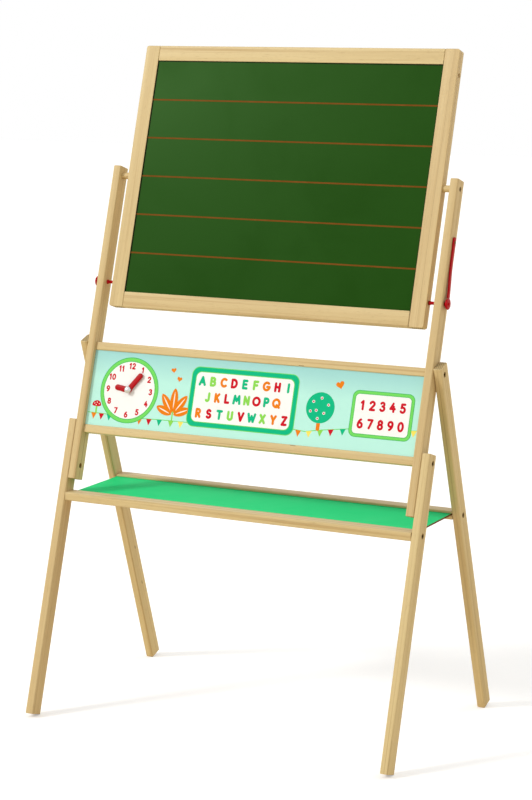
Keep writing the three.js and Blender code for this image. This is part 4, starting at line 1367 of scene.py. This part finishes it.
class EASEL_OT_stage(bpy.types.Operator):
    """Set the floor, backdrop, lamps, sky and camera"""
    bl_idname = "easel.stage"
    bl_label = "Stage"

    def execute(self, context):
        scene, stage = context.scene, context.scene.easel_stage
        scene.view_settings.view_transform = "Standard"
        reach, thick = 14.0, 0.02
        floor = box((-reach, -reach, -thick), (reach, reach, 0), name="floor")
        made, tree, shader = principled("Floor Paint", Roughness=0.75, Specular_IOR_Level=0.2,
                                        Emission_Color=(1, 1, 1, 1))
        soft = stretch(tree, noise(tree, object_place(tree), 3.0, 4.0), 0.3, 0.7)
        tone = mixed(tree, soft, (*stage.floor, 1), (*shaded(stage.floor, 0.985), 1))
        seen = node(tree, "LightPath").outputs["Is Camera Ray"]
        feed(tree, shader, Base_Color=mixed(tree, seen, (*stage.bounce, 1), tone),
             Emission_Strength=times(tree, seen, stage.lift))
        floor.data.materials.append(made)
        sky = bpy.data.worlds.new("Sky")
        sky.use_nodes = True
        tree = sky.node_tree
        background = tree.nodes["Background"]
        background.inputs["Color"].default_value = (1, 1, 1, 1)
        path = node(tree, "LightPath").outputs
        seen = maths(tree, "MAXIMUM", path["Is Camera Ray"], path["Is Glossy Ray"])
        feed(tree, background, Strength=stretch(tree, seen, 0.0, 1.0, stage.sky, 1.0))
        scene.world = sky
        key_place, key_aim = Vector((-2.0, -1.9, 2.65)), Vector((0, 0, 0.8))
        aimed("key_lamp", bpy.data.lights.new("key_lamp", "AREA"), key_aim - key_place, key_place,
              shape="DISK", size=1.0, energy=stage.key_power, color=(1.0, 0.99, 0.97))
        for name, heading, share, spread in (("sun", (0.60, 0.62, -0.60), 1.0, 9),
                                             ("back_sun", (-0.50, -0.70, -0.60), 0.42, 50)):
            aimed(name, bpy.data.lights.new(name, "SUN"), heading,
                  energy=share * stage.sun, angle=math.radians(spread))
        yaw, pitch = stage.camera_yaw, -stage.camera_pitch
        ahead = (-math.sin(yaw) * math.cos(pitch), math.cos(yaw) * math.cos(pitch), math.sin(pitch))
        scene.camera = aimed("camera", bpy.data.cameras.new("camera"), ahead, stage.camera_at,
                             lens=stage.lens, sensor_width=36.0, sensor_fit="AUTO",
                             clip_start=0.05, clip_end=60.0)
        return {"FINISHED"}


# ---------- panel and registration
OPERATORS = (
    EASEL_OT_stage, EASEL_OT_stand_timber, EASEL_OT_board_timber, EASEL_OT_sheets,
    EASEL_OT_pivot_dowels, EASEL_OT_rail_bolts, EASEL_OT_barrel_nuts, EASEL_OT_screws,
    EASEL_OT_staples, EASEL_OT_lock_pins, EASEL_OT_pin_straps, EASEL_OT_clock_hands,
    EASEL_OT_clock_axle, EASEL_OT_clock_face, EASEL_OT_letter_board, EASEL_OT_number_board,
    EASEL_OT_bunting, EASEL_OT_print_motifs, EASEL_OT_chalk_ruling,
)
SETTINGS = {"easel_timber": EaselTimberSettings, "easel_paint": EaselPaintSettings,
            "easel_stage": EaselStageSettings}


class EASEL_PT_pieces(bpy.types.Panel):
    """Lists the settings and the pieces"""
    bl_label = "Children's Easel"
    bl_idname = "EASEL_PT_pieces"
    bl_space_type = "VIEW_3D"
    bl_region_type = "UI"
    bl_category = "Easel"

    def draw(self, context):
        for name, kind in SETTINGS.items():
            for key in kind.__annotations__:
                self.layout.prop(getattr(context.scene, name), key)
        for operator in OPERATORS:
            self.layout.operator(operator.bl_idname)


CLASSES = (*SETTINGS.values(), *OPERATORS, EASEL_PT_pieces)


def register():
    for made in CLASSES:
        bpy.utils.register_class(made)
    for name, kind in SETTINGS.items():
        setattr(bpy.types.Scene, name, bpy.props.PointerProperty(type=kind))


def unregister():
    for name in SETTINGS:
        delattr(bpy.types.Scene, name)
    for made in reversed(CLASSES):
        bpy.utils.unregister_class(made)


def main():
    register()
    for operator in OPERATORS:
        getattr(bpy.ops.easel, operator.bl_idname.split(".")[1])()


if __name__ == "__main__":
    main()
